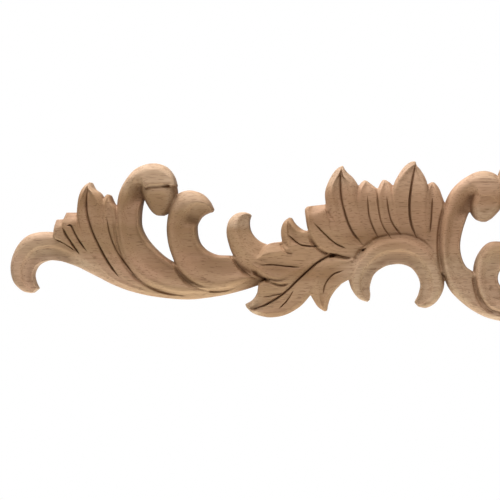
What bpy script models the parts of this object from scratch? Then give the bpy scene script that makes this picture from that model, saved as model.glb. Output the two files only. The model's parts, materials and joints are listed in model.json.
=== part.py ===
"""A long carved openwork applique of scrolls and acanthus leaves, as fixed to a cabinet rail.

It is one piece of wood, so the model is one solid. The frame is upright, as the piece is fixed:
X runs along it, Z is up, the flat back lies in the plane Y = 0 and the carving faces -Y.
The origin is on the back, on the line about which the design is symmetric. Only the left half
is designed. Each member of it is a ladder: two edges joined by rungs, with a height for each
rung and a cross-section between the edges. Lengths in the tables are in millimetres.
"""

import bmesh
import bpy
from mathutils import Vector
from mathutils.bvhtree import BVHTree

MM = 0.001
NAME = "carved_applique"
LENGTH = 500.0              # of the finished piece, tip to tip
BOARD = 12.0                # thickness of the board that the piece is carved from
DRAWN_LENGTH = 503.8        # the length and the thickness at which the tables below are drawn
DRAWN_BOARD = 12.0
SIZE = MM * LENGTH / DRAWN_LENGTH
DEPTH = MM * BOARD / DRAWN_BOARD
STEPS_ALONG = 4             # rows of facets between two rungs
STEPS_ACROSS = 3            # facets between two knots of a cross-section
CUT_STEPS = 5               # lengths between two points of a vein
CUT_RUN_OUT = 6             # a vein is at full depth from this part of its length on
CUT_CLEARANCE = 1.0         # how far a vein's cutter stands above the wood
CUT_NEAR = 0.05             # the way a vein runs is taken between points this far on either side
BEHIND = 2.0                # how far a member runs behind the back before the back is planed
BEHIND_STEP = 0.07          # and how much further each next one runs, so no two ends coincide
BACKWARDS = Vector((0, 1, 0))
MIN_WIDTH = 0.02            # an edge shorter than this is a point
SKIN = 0.4                  # fineness of the skin that blends the members into one body
SNAP = 0.05                 # a corner nearer than this to a cut is moved onto it
SEAM = 0.02                 # corners of the two halves nearer than this are one
FACETS = 4500               # facets of the half before its back is planed
WOOD = (0.42, 0.26, 0.15, 1.0)

# Cross-sections of the scrolls: (place across from the outer edge, depth below the crest).
TROUGH = ((0, 4.2), (0.08, 1.4), (0.20, 0.2), (0.50, 2.3), (0.80, 2.6), (0.93, 1.6), (1, 3.4))
POCKET = ((0, 4.2), (0.14, 1.0), (0.32, 0.3), (0.52, 2.6), (0.75, 5.4), (0.92, 6.2), (1, 6.4))
CAP = ((0, 5.0), (0.14, 2.8), (0.32, 1.2), (0.52, 0.8), (0.75, 0.4), (0.92, 0.1), (1, 0.0))
OVER = ((0, 5.0), (0.14, 2.8), (0.32, 1.0), (0.50, 0.1), (0.60, 2.0), (0.80, 3.4), (1, 4.4))
ROLL = ((0, 4.4), (0.10, 1.6), (0.26, 0.2), (0.46, 0.3), (0.56, 1.9), (0.80, 2.8), (1, 2.0))
STRIP = ((0, 3.4), (0.12, 1.6), (0.30, 0.3), (0.44, 0.1), (0.60, 0.8), (0.84, 2.2), (1, 4.2))
RIDGE = ((0, 4.2), (0.10, 2.2), (0.28, 0.8), (0.46, 0.0), (0.64, 1.6), (0.84, 2.6), (1, 3.8))
DOME = ((0, 4.6), (0.08, 2.2), (0.24, 0.5), (0.50, 0.0), (0.76, 0.5), (0.92, 2.2), (1, 4.6))
FULL_WIDTH = 9.0            # a scroll narrower than this is cut in proportion less deep

# Scrolls: rungs as (outer x, outer z, inner x, inner z, crest height), and which cross-section
# rules from which rung on.
SCROLLS = {
    "rail": (
        (
            (-241.4, -20.7, -238.7, -18.5, 8.0), (-246.1, -19.6, -240.1, -15.8, 9.2),
            (-250.3, -15.6, -240.9, -12.1, 9.8), (-251.9, -9.5, -239.9, -9.0, 10.2),
            (-251.1, -3.5, -238.2, -6.9, 10.4), (-248.3, 2.2, -235.7, -5.6, 10.6),
            (-243.5, 6.9, -232.8, -4.95, 10.6), (-237.2, 8.6, -229.4, -5.1, 10.5),
            (-229.9, 8.2, -225.4, -5.8, 10.2), (-221.1, 4.2, -218.5, -8.4, 9.8),
            (-210.9, -1.5, -210.3, -12.6, 9.5), (-200.0, -6.0, -200.5, -17.4, 9.2),
            (-188.0, -10.0, -190.5, -20.7, 8.8), (-175.0, -12.8, -179.0, -22.8, 8.4),
            (-161.0, -13.8, -166.0, -23.6, 8.0), (-148.0, -13.4, -152.0, -22.0, 7.8),
            (-138.5, -11.0, -140.0, -19.1, 7.4), (-131.0, -9.5, -131.4, -16.2, 7.0),
            (-125.0, -9.0, -125.0, -14.0, 6.6),
        ),
        ((0, ROLL), (7.5, ROLL), (10, STRIP), (18, STRIP)),
    ),
    "first scroll": (
        (
            (-143.0, -17.2, -146.0, -11.5, 8.6), (-152.5, -19.6, -154.0, -9.5, 9.2),
            (-163.0, -20.9, -163.0, -7.6, 9.8), (-173.5, -20.3, -170.6, -6.8, 10.2),
            (-181.3, -17.9, -176.0, -4.3, 10.4), (-188.3, -14.1, -180.0, -1.2, 10.6),
            (-193.7, -8.9, -183.8, 2.6, 10.8), (-197.5, -2.0, -186.8, 6.7, 11.0),
            (-199.5, 6.0, -188.8, 11.5, 11.0), (-200.2, 14.0, -188.9, 17.0, 11.0),
            (-200.1, 21.0, -188.2, 22.0, 11.0), (-198.9, 27.5, -187.2, 26.4, 11.3),
            (-195.8, 33.5, -187.6, 28.6, 11.6), (-190.6, 39.0, -185.8, 29.5, 11.8),
            (-183.5, 41.2, -182.6, 30.0, 12.0), (-177.4, 40.0, -179.2, 30.4, 12.0),
            (-173.4, 35.7, -176.0, 30.9, 12.0), (-171.6, 30.6, -173.6, 30.4, 11.6),
        ),
        ((0, TROUGH), (9.5, TROUGH), (10.8, POCKET), (12.0, POCKET), (13.2, CAP), (17, CAP)),
    ),
    "first bulb": (
        (
            (-189.0, 32.0, -172.4, 32.0, 10.8), (-188.4, 28.0, -171.6, 28.0, 11.3),
            (-187.4, 24.8, -171.9, 24.6, 11.0), (-185.8, 21.3, -173.0, 21.0, 10.2),
            (-183.8, 18.2, -175.2, 18.0, 9.0), (-181.3, 16.4, -178.2, 16.3, 7.4),
        ),
        ((0, DOME),),
    ),
    "second scroll": (
        (
            (-131.0, -13.0, -133.0, -4.5, 8.6), (-140.0, -16.0, -140.0, -3.2, 9.6),
            (-149.0, -18.7, -146.8, -2.6, 10.2), (-157.5, -18.4, -152.5, -2.3, 10.6),
            (-165.0, -15.0, -157.0, -0.4, 10.9), (-170.4, -9.6, -160.0, 2.4, 11.0),
            (-173.8, -2.8, -161.4, 5.3, 11.0), (-175.8, 4.5, -162.0, 8.4, 11.0),
            (-176.2, 12.0, -162.0, 11.6, 11.2), (-174.8, 19.5, -161.0, 13.9, 11.5),
            (-171.7, 26.0, -159.9, 15.5, 11.6), (-166.0, 28.3, -158.5, 16.6, 11.6),
            (-160.2, 27.0, -157.1, 17.3, 11.2), (-156.3, 23.5, -155.8, 17.8, 10.0),
            (-154.0, 19.2, -154.8, 18.0, 7.6),
        ),
        ((0, TROUGH), (7.6, TROUGH), (8.8, POCKET), (10.4, OVER), (14, OVER)),
    ),
    "hooked leaf": (
        (
            (-125.0, -15.0, -119.0, -6.0, 9.6), (-131.5, -13.8, -123.0, -2.2, 10.2),
            (-137.0, -11.0, -126.0, 1.2, 10.6), (-141.3, -7.6, -129.2, 2.8, 10.9),
            (-144.4, -3.1, -132.0, 4.0, 11.0), (-146.4, 1.8, -134.6, 6.2, 11.0),
            (-147.7, 7.2, -136.4, 9.0, 11.0), (-147.4, 11.8, -137.0, 11.7, 11.0),
            (-146.0, 15.0, -137.0, 13.7, 10.4), (-143.2, 17.3, -136.7, 15.0, 9.6),
            (-139.6, 18.0, -136.45, 15.8, 8.6), (-136.9, 17.2, -136.2, 16.3, 7.4),
        ),
        ((0, RIDGE),),
    ),
    "crescent": (
        (
            (-81.4, -24.4, -80.2, -23.5, 8.4), (-85.3, -22.9, -79.9, -21.0, 9.4),
            (-88.6, -18.8, -80.2, -18.0, 10.2), (-90.0, -13.8, -79.6, -15.0, 10.8),
            (-88.9, -8.9, -78.5, -12.1, 11.0), (-86.2, -3.9, -76.5, -9.9, 11.2),
            (-81.8, 1.3, -74.1, -8.3, 11.4), (-76.0, 4.9, -71.7, -7.25, 11.5),
            (-69.5, 6.4, -69.0, -6.75, 11.5), (-63.0, 6.3, -66.2, -6.65, 11.5),
            (-57.5, 4.3, -63.2, -7.25, 11.5), (-52.6, 0.7, -60.7, -8.5, 11.4),
            (-49.1, -4.1, -58.7, -10.7, 11.2), (-46.8, -9.4, -57.2, -13.4, 11.0),
            (-45.4, -15.0, -56.5, -16.5, 10.8), (-46.4, -20.0, -57.0, -19.4, 10.4),
            (-49.3, -24.5, -57.8, -21.8, 9.8), (-53.5, -27.1, -58.8, -23.6, 9.0),
            (-57.5, -26.7, -59.3, -24.7, 8.0),
        ),
        ((0, ROLL),),
    ),
    "large scroll": (
        (
            (3.0, -35.2, 3.0, -24.4, 9.0), (-8.0, -34.7, -7.0, -24.0, 9.0),
            (-17.0, -33.6, -14.5, -22.8, 9.2), (-24.8, -31.9, -20.0, -20.2, 9.4),
            (-31.6, -28.7, -24.5, -17.0, 9.8), (-37.7, -24.1, -28.6, -13.4, 10.2),
            (-42.6, -18.9, -32.3, -10.0, 10.6), (-45.4, -12.8, -35.4, -7.6, 10.9),
            (-47.0, -5.8, -37.4, -3.2, 11.0), (-47.5, 1.6, -38.1, 2.4, 11.1),
            (-47.2, 9.2, -37.0, 8.9, 11.2), (-46.1, 16.5, -35.2, 14.5, 11.3),
            (-44.5, 23.2, -33.2, 18.8, 11.4), (-41.4, 28.8, -31.6, 21.8, 11.6),
            (-36.6, 33.3, -30.1, 23.8, 11.8), (-30.5, 36.4, -28.3, 25.0, 12.0),
            (-24.8, 36.7, -25.8, 25.4, 12.0), (-20.3, 34.2, -23.4, 24.8, 12.0),
            (-17.5, 29.6, -21.9, 23.4, 11.8), (-17.2, 25.0, -21.2, 21.6, 11.4),
        ),
        ((0, TROUGH), (10.6, TROUGH), (11.9, POCKET), (13.4, POCKET), (14.8, CAP), (19, CAP)),
    ),
    "large bulb": (
        (
            (-32.4, 27.0, -17.8, 27.0, 11.0), (-33.0, 24.0, -17.3, 24.0, 11.4),
            (-33.5, 20.9, -18.5, 20.6, 11.0), (-32.9, 17.3, -20.9, 17.2, 10.2),
            (-30.7, 14.4, -23.4, 14.6, 9.0), (-27.8, 13.2, -25.8, 13.2, 7.4),
        ),
        ((0, DOME),),
    ),
    "inner scroll": (
        (
            (2.0, -29.6, 2.0, -19.0, 9.0), (-9.0, -30.0, -11.6, -18.6, 9.4),
            (-18.0, -30.0, -16.0, -18.4, 10.0),
            (-25.4, -27.2, -18.7, -17.3, 10.4), (-29.5, -21.4, -20.3, -15.4, 10.8),
            (-31.3, -14.6, -20.7, -13.0, 11.0), (-31.6, -7.8, -20.2, -10.6, 11.2),
            (-29.4, -1.6, -19.0, -8.9, 11.4), (-24.9, 3.3, -17.4, -8.2, 11.6),
            (-18.6, 3.9, -15.6, -8.4, 11.6), (-11.6, 1.6, -13.8, -9.3, 11.2),
            (-6.0, -3.6, -12.6, -10.8, 10.6), (-3.6, -11.0, -12.0, -12.9, 10.0),
            (-3.2, -18.0, -12.2, -15.4, 9.6), (-4.0, -24.5, -13.4, -18.6, 9.4),
        ),
        ((0, TROUGH),),
    ),
    "stem": (
        (
            (-1.6, -31.0, 1.6, -31.0, 9.4), (-3.4, -24.0, 3.4, -24.0, 10.4),
            (-5.4, -16.0, 5.4, -16.0, 11.2), (-7.2, -8.0, 7.2, -8.0, 11.6),
            (-8.6, 0.0, 8.6, 0.0, 12.0), (-8.0, 6.6, 8.0, 6.6, 12.0),
            (-5.0, 11.4, 5.0, 11.4, 11.6), (-1.0, 14.6, 1.0, 14.6, 10.2),
        ),
        ((0, DOME),),
    ),
}

# Leaf lobes: rungs from root to tip as (left x, left z, right x, right z, crest height, place
# of the valley across), then the widths of the left and right bevel near the root, the same
# beside the tip, between which parts of the length they widen, and the depth that the gouge takes
# out between the crests.
EARLY = (0.25, 0.55)
LATE = (0.30, 1.0)
LOBES = {
    "fan leaf, lowest lobe": (
        (
            (-212.0, -7.0, -208.5, -4.5, 9.0, 0.5), (-217.4, -3.0, -213.4, 0.6, 9.8, 0.5),
            (-221.9, 1.0, -217.5, 4.6, 10.6, 0.5), (-226.1, 3.6, -221.2, 8.0, 11.0, 0.5),
            (-229.9, 5.8, -223.2, 10.6, 11.2, 0.5), (-230.3, 9.8, -223.8, 12.4, 10.8, 0.5),
            (-229.5, 14.6, -224.4, 14.8, 7.6, 0.5),
        ),
        (1.0, 1.0), (0.6, 0.6), LATE, 0.8,
    ),
    "fan leaf, second lobe": (
        (
            (-213.0, -7.0, -207.0, -5.5, 9.4, 0.55), (-217.2, -2.2, -210.6, -0.6, 10.2, 0.55),
            (-220.8, 2.8, -213.8, 4.6, 11.0, 0.55), (-224.0, 7.8, -216.8, 9.8, 11.4, 0.55),
            (-226.0, 12.6, -218.0, 13.8, 11.2, 0.5), (-224.8, 17.9, -217.6, 17.9, 7.6, 0.5),
        ),
        (1.0, 1.0), (0.6, 0.6), LATE, 1.0,
    ),
    "fan leaf, tall lobe": (
        (
            (-186.0, -20.2, -181.0, -18.2, 7.0, 0.5), (-195.5, -17.2, -187.5, -15.0, 8.4, 0.5),
            (-203.0, -13.2, -194.5, -12.4, 9.3, 0.5), (-208.6, -7.6, -198.0, -8.0, 10.0, 0.5),
            (-213.2, -1.0, -201.4, -1.4, 10.4, 0.58), (-216.8, 7.0, -204.6, 6.6, 10.8, 0.5),
            (-218.9, 15.0, -206.0, 15.0, 11.0, 0.38), (-218.6, 22.4, -206.0, 22.0, 11.2, 0.36),
            (-217.5, 27.6, -208.3, 26.8, 10.8, 0.35), (-215.6, 30.7, -211.1, 29.0, 9.4, 0.4),
            (-213.4, 32.4, -212.9, 32.3, 7.2, 0.5),
        ),
        (1.0, 1.0), (2.2, 3.6), LATE, 2.0,
    ),
    "fan leaf, inner lobe": (
        (
            (-183.0, -19.4, -178.0, -17.0, 7.0, 0.6), (-191.5, -16.6, -185.0, -14.0, 8.3, 0.7),
            (-198.0, -12.6, -191.0, -10.6, 9.1, 0.7), (-202.6, -5.0, -195.0, -5.4, 9.8, 0.75),
            (-205.8, 5.0, -198.0, 4.0, 10.2, 0.55), (-207.0, 14.0, -199.2, 13.0, 10.5, 0.4),
            (-207.0, 21.0, -199.8, 19.6, 10.6, 0.45), (-206.0, 25.1, -201.8, 22.2, 9.2, 0.5),
            (-204.8, 26.7, -203.6, 26.0, 7.4, 0.5),
        ),
        (1.0, 1.0), (1.6, 2.0), LATE, 1.4,
    ),
    "acanthus, upper lobe": (
        (
            (-99.0, -3.0, -98.0, 1.8, 9.6, 0.4), (-107.0, -7.8, -105.0, 2.0, 10.0, 0.36),
            (-114.2, -13.6, -111.5, 2.6, 10.4, 0.34), (-120.6, -15.8, -117.8, 3.7, 10.8, 0.42),
            (-126.8, -14.4, -123.0, 3.8, 11.2, 0.42), (-132.0, -11.4, -128.2, 2.6, 11.3, 0.45),
            (-135.4, -9.0, -132.6, -1.7, 10.8, 0.5), (-137.2, -7.4, -136.6, -6.4, 9.6, 0.5),
        ),
        (6.0, 0.6), (2.2, 5.0), EARLY, 1.4,
    ),
    "acanthus, curled lobe": (
        (
            (-99.0, 0.6, -98.6, 3.6, 8.8, 0.5), (-107.0, 0.2, -105.0, 6.9, 9.8, 0.4),
            (-113.6, -0.6, -109.2, 8.9, 10.6, 0.45), (-118.8, -0.8, -111.2, 9.4, 11.1, 0.5),
            (-121.4, 4.6, -112.6, 10.2, 11.3, 0.5), (-121.8, 9.4, -114.4, 11.6, 11.2, 0.5),
            (-120.5, 13.2, -115.8, 13.2, 10.0, 0.5), (-118.1, 15.4, -117.0, 15.3, 7.6, 0.5),
        ),
        (4.5, 1.0), (3.2, 2.0), EARLY, 1.6,
    ),
    "acanthus, main lobe": (
        (
            (-85.0, -1.0, -84.5, -6.0, 8.4, 0.5), (-91.5, -1.0, -89.5, -6.6, 8.4, 0.42),
            (-98.0, -0.6, -94.0, -7.4, 8.5, 0.30), (-104.6, -3.4, -99.6, -11.0, 8.9, 0.28),
            (-110.6, -7.2, -104.6, -16.4, 9.7, 0.28), (-117.0, -12.0, -108.4, -21.6, 10.4, 0.30),
            (-122.4, -14.2, -113.2, -26.9, 10.8, 0.38), (-127.6, -13.8, -119.8, -30.6, 10.8, 0.50),
            (-132.1, -15.8, -126.7, -31.8, 10.6, 0.62), (-133.2, -20.2, -131.9, -31.1, 10.0, 0.66),
            (-135.4, -23.5, -135.7, -29.5, 9.0, 0.75), (-138.9, -25.6, -138.3, -27.2, 7.0, 0.5),
        ),
        (0.4, 1.6), (2.6, 2.6), LATE, 2.0,
    ),
    "acanthus, lower lobe": (
        (
            (-88.0, -4.0, -84.5, -6.0, 9.4, 0.5), (-96.5, -2.6, -86.6, -10.0, 9.8, 0.55),
            (-103.4, -5.2, -90.0, -13.8, 10.1, 0.54), (-107.8, -11.0, -93.2, -15.8, 10.3, 0.56),
            (-109.0, -17.0, -94.8, -17.4, 10.4, 0.55), (-107.9, -20.9, -96.5, -19.2, 10.4, 0.53),
            (-106.6, -23.5, -98.6, -22.4, 10.2, 0.5), (-104.4, -26.8, -99.7, -25.4, 9.2, 0.5),
            (-101.4, -29.0, -100.3, -28.7, 7.0, 0.5),
        ),
        (4.5, 1.2), (3.0, 1.8), LATE, 1.6,
    ),
    "palm leaf, low lobe": (
        (
            (-84.0, -4.0, -83.5, -0.5, 8.6, 0.6), (-91.6, -3.3, -90.4, 2.2, 9.2, 0.65),
            (-97.2, -1.9, -95.4, 6.8, 9.9, 0.60), (-102.5, 0.2, -98.6, 11.2, 10.6, 0.52),
            (-106.3, 3.9, -98.8, 14.8, 11.1, 0.50), (-109.0, 9.0, -99.6, 17.4, 11.4, 0.5),
            (-110.2, 15.0, -100.2, 18.8, 11.2, 0.45), (-110.7, 19.0, -100.5, 20.6, 8.8, 0.45),
            (-109.6, 20.6, -100.8, 21.5, 7.2, 0.45),
        ),
        (1.2, 1.0), (1.6, 0.8), LATE, 1.6,
    ),
    "palm leaf, left lobe": (
        (
            (-88.0, -1.8, -77.0, 3.5, 9.6, 0.55), (-95.8, 2.6, -80.5, 8.0, 10.0, 0.50),
            (-101.4, 8.2, -83.0, 14.0, 10.5, 0.54), (-101.2, 15.0, -84.7, 20.0, 10.9, 0.54),
            (-100.8, 20.6, -85.2, 25.6, 11.2, 0.5), (-101.2, 26.6, -85.6, 30.2, 11.4, 0.49),
            (-100.0, 31.2, -87.8, 33.8, 11.0, 0.53), (-97.7, 35.6, -90.2, 36.0, 10.0, 0.57),
            (-95.3, 38.4, -91.6, 37.6, 8.8, 0.6), (-93.0, 39.7, -92.6, 39.5, 7.0, 0.5),
        ),
        (6.0, 1.0), (3.4, 3.4), EARLY, 2.2,
    ),
    "palm leaf, third lobe": (
        (
            (-79.0, 2.0, -69.8, 5.0, 9.2, 0.4), (-82.5, 9.0, -72.3, 10.0, 9.8, 0.43),
            (-85.0, 16.0, -74.4, 16.0, 10.3, 0.46), (-86.1, 22.0, -75.4, 22.0, 10.6, 0.48),
            (-86.0, 27.6, -76.2, 27.8, 10.2, 0.5), (-84.7, 31.1, -78.2, 30.0, 8.8, 0.5),
            (-82.9, 32.8, -81.6, 32.6, 7.0, 0.5),
        ),
        (1.0, 1.0), (2.2, 2.4), LATE, 1.5,
    ),
    "palm leaf, fourth lobe": (
        (
            (-70.6, 4.0, -63.5, 4.5, 9.4, 0.55), (-73.4, 9.5, -65.2, 10.0, 10.0, 0.58),
            (-75.3, 15.0, -66.8, 15.0, 10.5, 0.58), (-76.2, 21.0, -68.1, 21.0, 10.8, 0.52),
            (-76.8, 26.5, -68.8, 27.0, 10.5, 0.5), (-75.8, 30.4, -69.8, 30.7, 9.0, 0.5),
            (-74.2, 33.0, -72.6, 32.9, 7.2, 0.5),
        ),
        (1.0, 1.0), (2.0, 2.6), LATE, 1.5,
    ),
    "palm leaf, right lobe": (
        (
            (-65.5, 3.0, -52.5, 1.0, 9.6, 0.5), (-67.0, 9.0, -53.2, 7.5, 10.1, 0.53),
            (-68.4, 15.0, -53.6, 14.0, 10.6, 0.5), (-69.3, 21.0, -53.5, 21.0, 11.0, 0.49),
            (-69.6, 26.5, -53.3, 27.0, 11.3, 0.51), (-68.9, 31.0, -53.5, 31.2, 11.4, 0.56),
            (-67.0, 35.0, -54.9, 34.8, 11.0, 0.63), (-64.2, 38.9, -56.7, 37.8, 10.0, 0.72),
            (-61.3, 41.1, -58.2, 39.5, 8.6, 0.78), (-59.1, 41.6, -58.7, 41.2, 7.0, 0.5),
        ),
        (1.0, 1.0), (3.4, 2.8), LATE, 2.2,
    ),
    "palm leaf, last lobe": (
        (
            (-52.0, -9.0, -42.0, -13.0, 9.2, 0.5), (-54.0, -2.0, -43.0, -5.0, 9.4, 0.5),
            (-55.2, 6.0, -43.6, 3.0, 9.8, 0.45),
            (-54.9, 13.0, -43.6, 11.0, 10.2, 0.35), (-54.6, 20.0, -44.4, 19.0, 10.5, 0.35),
            (-54.3, 26.0, -46.5, 25.0, 10.2, 0.4), (-53.5, 30.2, -47.9, 28.9, 9.0, 0.45),
            (-51.4, 31.8, -50.0, 31.7, 7.0, 0.5),
        ),
        (1.0, 1.0), (1.8, 2.6), LATE, 1.6,
    ),
    "palmette, outer lobe": (
        (
            (-8.0, 2.0, -3.0, 3.0, 9.0, 0.5), (-13.0, 12.0, -6.0, 12.0, 9.6, 0.5),
            (-17.5, 21.0, -8.5, 21.0, 10.0, 0.5), (-20.0, 28.5, -10.2, 29.0, 10.2, 0.5),
            (-20.3, 34.5, -11.0, 36.0, 10.2, 0.5), (-19.1, 38.2, -12.0, 39.3, 9.6, 0.5),
            (-17.3, 42.0, -13.7, 42.2, 8.4, 0.5), (-15.4, 44.4, -14.9, 44.3, 7.0, 0.5),
        ),
        (1.0, 1.0), (2.2, 2.2), LATE, 1.4,
    ),
    "palmette, middle lobe": (
        (
            (-6.0, 5.0, -1.0, 5.0, 9.4, 0.5), (-8.6, 15.0, -2.6, 15.0, 10.0, 0.5),
            (-10.8, 24.0, -3.8, 24.0, 10.4, 0.5), (-11.8, 32.0, -4.6, 32.0, 10.6, 0.5),
            (-11.6, 38.3, -5.0, 39.0, 10.4, 0.5), (-10.4, 42.5, -6.0, 42.9, 9.0, 0.5),
            (-8.4, 46.0, -7.6, 46.0, 7.2, 0.5),
        ),
        (1.0, 1.0), (2.0, 2.0), LATE, 1.4,
    ),
    "palmette, centre lobe": (
        (
            (-4.6, 2.0, 4.6, 2.0, 9.8, 0.5), (-5.4, 14.0, 5.4, 14.0, 10.4, 0.5),
            (-6.4, 26.0, 6.4, 26.0, 10.9, 0.5), (-6.8, 35.0, 6.8, 35.0, 11.2, 0.5),
            (-5.6, 41.8, 5.6, 41.8, 10.6, 0.5), (-3.0, 47.0, 3.0, 47.0, 9.0, 0.5),
            (-0.3, 50.2, 0.3, 50.2, 7.0, 0.5),
        ),
        (1.0, 1.0), (2.6, 2.6), LATE, 1.8,
    ),
}
BEVEL_DEPTH = 2.6           # how far the bevel falls from crest to edge
ROOT_DEPTH = 0.3            # part of bevel and hollow that is left at a lobe's root
BEVEL_SHARE = 0.8           # the bevel takes no more than this of the way to the valley

# Veins cut with a V tool: the path as (x, z), the width and the depth at the widest place.
VEINS = {
    "fan leaf, rail line": (((-229.4, 5.2), (-224.8, 3.0), (-219.0, -0.8)), 1.1, 1.2),
    "fan leaf, first gap": (((-225.6, 10.8), (-223.6, 6.6), (-220.6, 2.2), (-217.4, -2.2)), 1.3, 2.2),
    "fan leaf, second gap": (
        ((-223.6, 11.4), (-221.6, 11.6), (-219.8, 8.0), (-217.0, 3.4), (-213.6, -1.0)), 1.2, 2.0,
    ),
    "fan leaf, main vein": (
        ((-213.8, 30.2), (-214.3, 20.0), (-212.2, 10.5), (-207.6, 0.5), (-202.8, -7.6), (-198.6, -13.0)),
        1.5, 2.6,
    ),
    "fan leaf, inner vein": (
        ((-204.6, 16.0), (-203.2, 8.0), (-200.6, 1.0), (-196.6, -5.5), (-191.4, -11.6)), 1.1, 1.6,
    ),
    "acanthus, main vein": (
        (
            (-136.0, -28.4), (-128.0, -25.3), (-120.0, -20.0), (-112.0, -12.3), (-104.0, -5.4),
            (-97.0, -2.4), (-90.0, -3.6),
        ),
        1.4, 2.4,
    ),
    "acanthus, upper vein": (((-132.0, -7.2), (-125.0, -7.0), (-119.0, -7.7), (-112.5, -8.2)), 1.1, 1.6),
    "acanthus, curled vein": (((-118.8, 7.6), (-114.0, 3.2), (-109.5, 1.9), (-103.0, 1.8)), 1.2, 1.8),
    "acanthus, tip vein": (((-130.6, -22.3), (-125.5, -21.4), (-120.4, -20.2)), 1.0, 1.2),
    "acanthus, belly vein": (((-122.8, -27.8), (-119.0, -24.0), (-115.6, -18.8)), 1.0, 1.2),
    "acanthus, lower vein": (((-101.9, -20.6), (-100.9, -16.0), (-97.4, -11.6), (-92.0, -9.4)), 1.1, 1.5),
    "palm leaf, low vein": (((-106.6, 13.0), (-101.0, 7.2), (-96.0, 2.9), (-91.0, 0.7)), 1.2, 1.8),
    "palm leaf, left vein": (
        ((-93.9, 37.4), (-93.7, 27.0), (-92.3, 19.0), (-88.9, 9.6), (-82.0, 0.4)), 1.4, 2.4,
    ),
    "palm leaf, third vein": (((-81.2, 25.6), (-80.6, 17.0), (-78.9, 11.0), (-76.2, 5.6)), 1.1, 1.6),
    "palm leaf, gap": (((-76.7, 27.2), (-76.0, 19.0), (-74.2, 11.6), (-69.6, 4.6)), 1.2, 1.8),
    "palm leaf, fourth vein": (((-72.3, 25.4), (-71.3, 17.6), (-69.5, 12.2), (-65.4, 6.4)), 1.1, 1.6),
    "palm leaf, right vein": (
        ((-58.7, 40.4), (-60.6, 31.0), (-61.7, 22.0), (-61.1, 13.0), (-58.2, 4.8)), 1.4, 2.4,
    ),
    "palm leaf, last vein": (((-51.0, 24.6), (-51.5, 16.0), (-52.3, 7.6)), 1.1, 1.6),
    "palmette, outer vein": (((-15.4, 39.6), (-15.0, 27.0), (-11.6, 15.0)), 1.1, 1.6),
    "palmette, middle vein": (((-8.2, 41.6), (-7.8, 28.0), (-6.0, 16.0)), 1.1, 1.6),
    "palmette, centre vein": (((0.0, 47.0), (0.0, 30.0), (0.0, 15.0)), 1.4, 2.0),
}


def smooth(part):
    """Ease from 0 to 1 and stay there outside."""
    part = min(max(part, 0.0), 1.0)
    return part * part * (3 - 2 * part)


def along(points, place):
    """Values at a place, counted in rungs, on a smooth curve through the given points."""
    first = min(int(place), len(points) - 2)
    part = place - first
    b, c = points[first], points[first + 1]
    a = points[first - 1] if first else tuple(2 * p - q for p, q in zip(b, c))
    d = points[first + 2] if first + 2 < len(points) else tuple(2 * q - p for p, q in zip(b, c))
    return tuple(
        q + 0.5 * part * (r - p + part * (2 * p - 5 * q + 4 * r - s + part * (3 * (q - r) + s - p)))
        for p, q, r, s in zip(a, b, c, d)
    )


def curve_through(knots, steps):
    """Places and depths on a curve that passes the knots and swings past none of them."""
    rises = [(q[1] - p[1]) / (q[0] - p[0]) for p, q in zip(knots, knots[1:])]
    slopes = [rises[0]]
    for before, after in zip(rises, rises[1:]):
        slopes.append(2 * before * after / (before + after) if before * after > 0 else 0.0)
    slopes.append(rises[-1])
    points = [knots[0]]
    for i, (p, q) in enumerate(zip(knots, knots[1:])):
        span = q[0] - p[0]
        for step in range(1, steps + 1):
            u = step / steps
            depth = (
                p[1] * (1 + 2 * u) * (1 - u) ** 2 + q[1] * u * u * (3 - 2 * u)
                + span * (slopes[i] * u * (1 - u) ** 2 - slopes[i + 1] * u * u * (1 - u))
            )
            points.append((p[0] + span * u, depth))
    return points


def scroll_section(sections, place, width):
    """Cross-section of a scroll at a rung, between the two that are named on either side."""
    before = [entry for entry in sections if entry[0] <= place][-1]
    after = next((entry for entry in sections if entry[0] > place), before)
    part = smooth((place - before[0]) / (after[0] - before[0])) if after is not before else 0.0
    strength = min(1.0, width / FULL_WIDTH)
    knots = [
        (p[0] + (q[0] - p[0]) * part, strength * (p[1] + (q[1] - p[1]) * part))
        for p, q in zip(before[1], after[1])
    ]
    return curve_through(knots, STEPS_ACROSS)


def lobe_section(roots, tips, widens, gouge, valley, part, width):
    """Cross-section of a leaf lobe: a bevel, a hollow down to the valley, and up again."""
    grown = smooth((part - widens[0]) / (widens[1] - widens[0]))
    left, right = (root + (tip - root) * grown for root, tip in zip(roots, tips))
    left = min(left / width, BEVEL_SHARE * valley)
    right = 1 - min(right / width, BEVEL_SHARE * (1 - valley))
    strength = min(1.0, width / FULL_WIDTH) * (ROOT_DEPTH + (1 - ROOT_DEPTH) * grown)
    points = [(0.0, strength * BEVEL_DEPTH)]
    for start, end in ((left, valley), (right, valley)):
        hollow = [
            (start + (end - start) * step / STEPS_ACROSS,
             strength * gouge * (1 - (1 - step / STEPS_ACROSS) ** 2))
            for step in range(STEPS_ACROSS + 1)
        ]
        points += hollow if start is left else hollow[-2::-1]
    points.append((1.0, strength * BEVEL_DEPTH))
    return points


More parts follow.
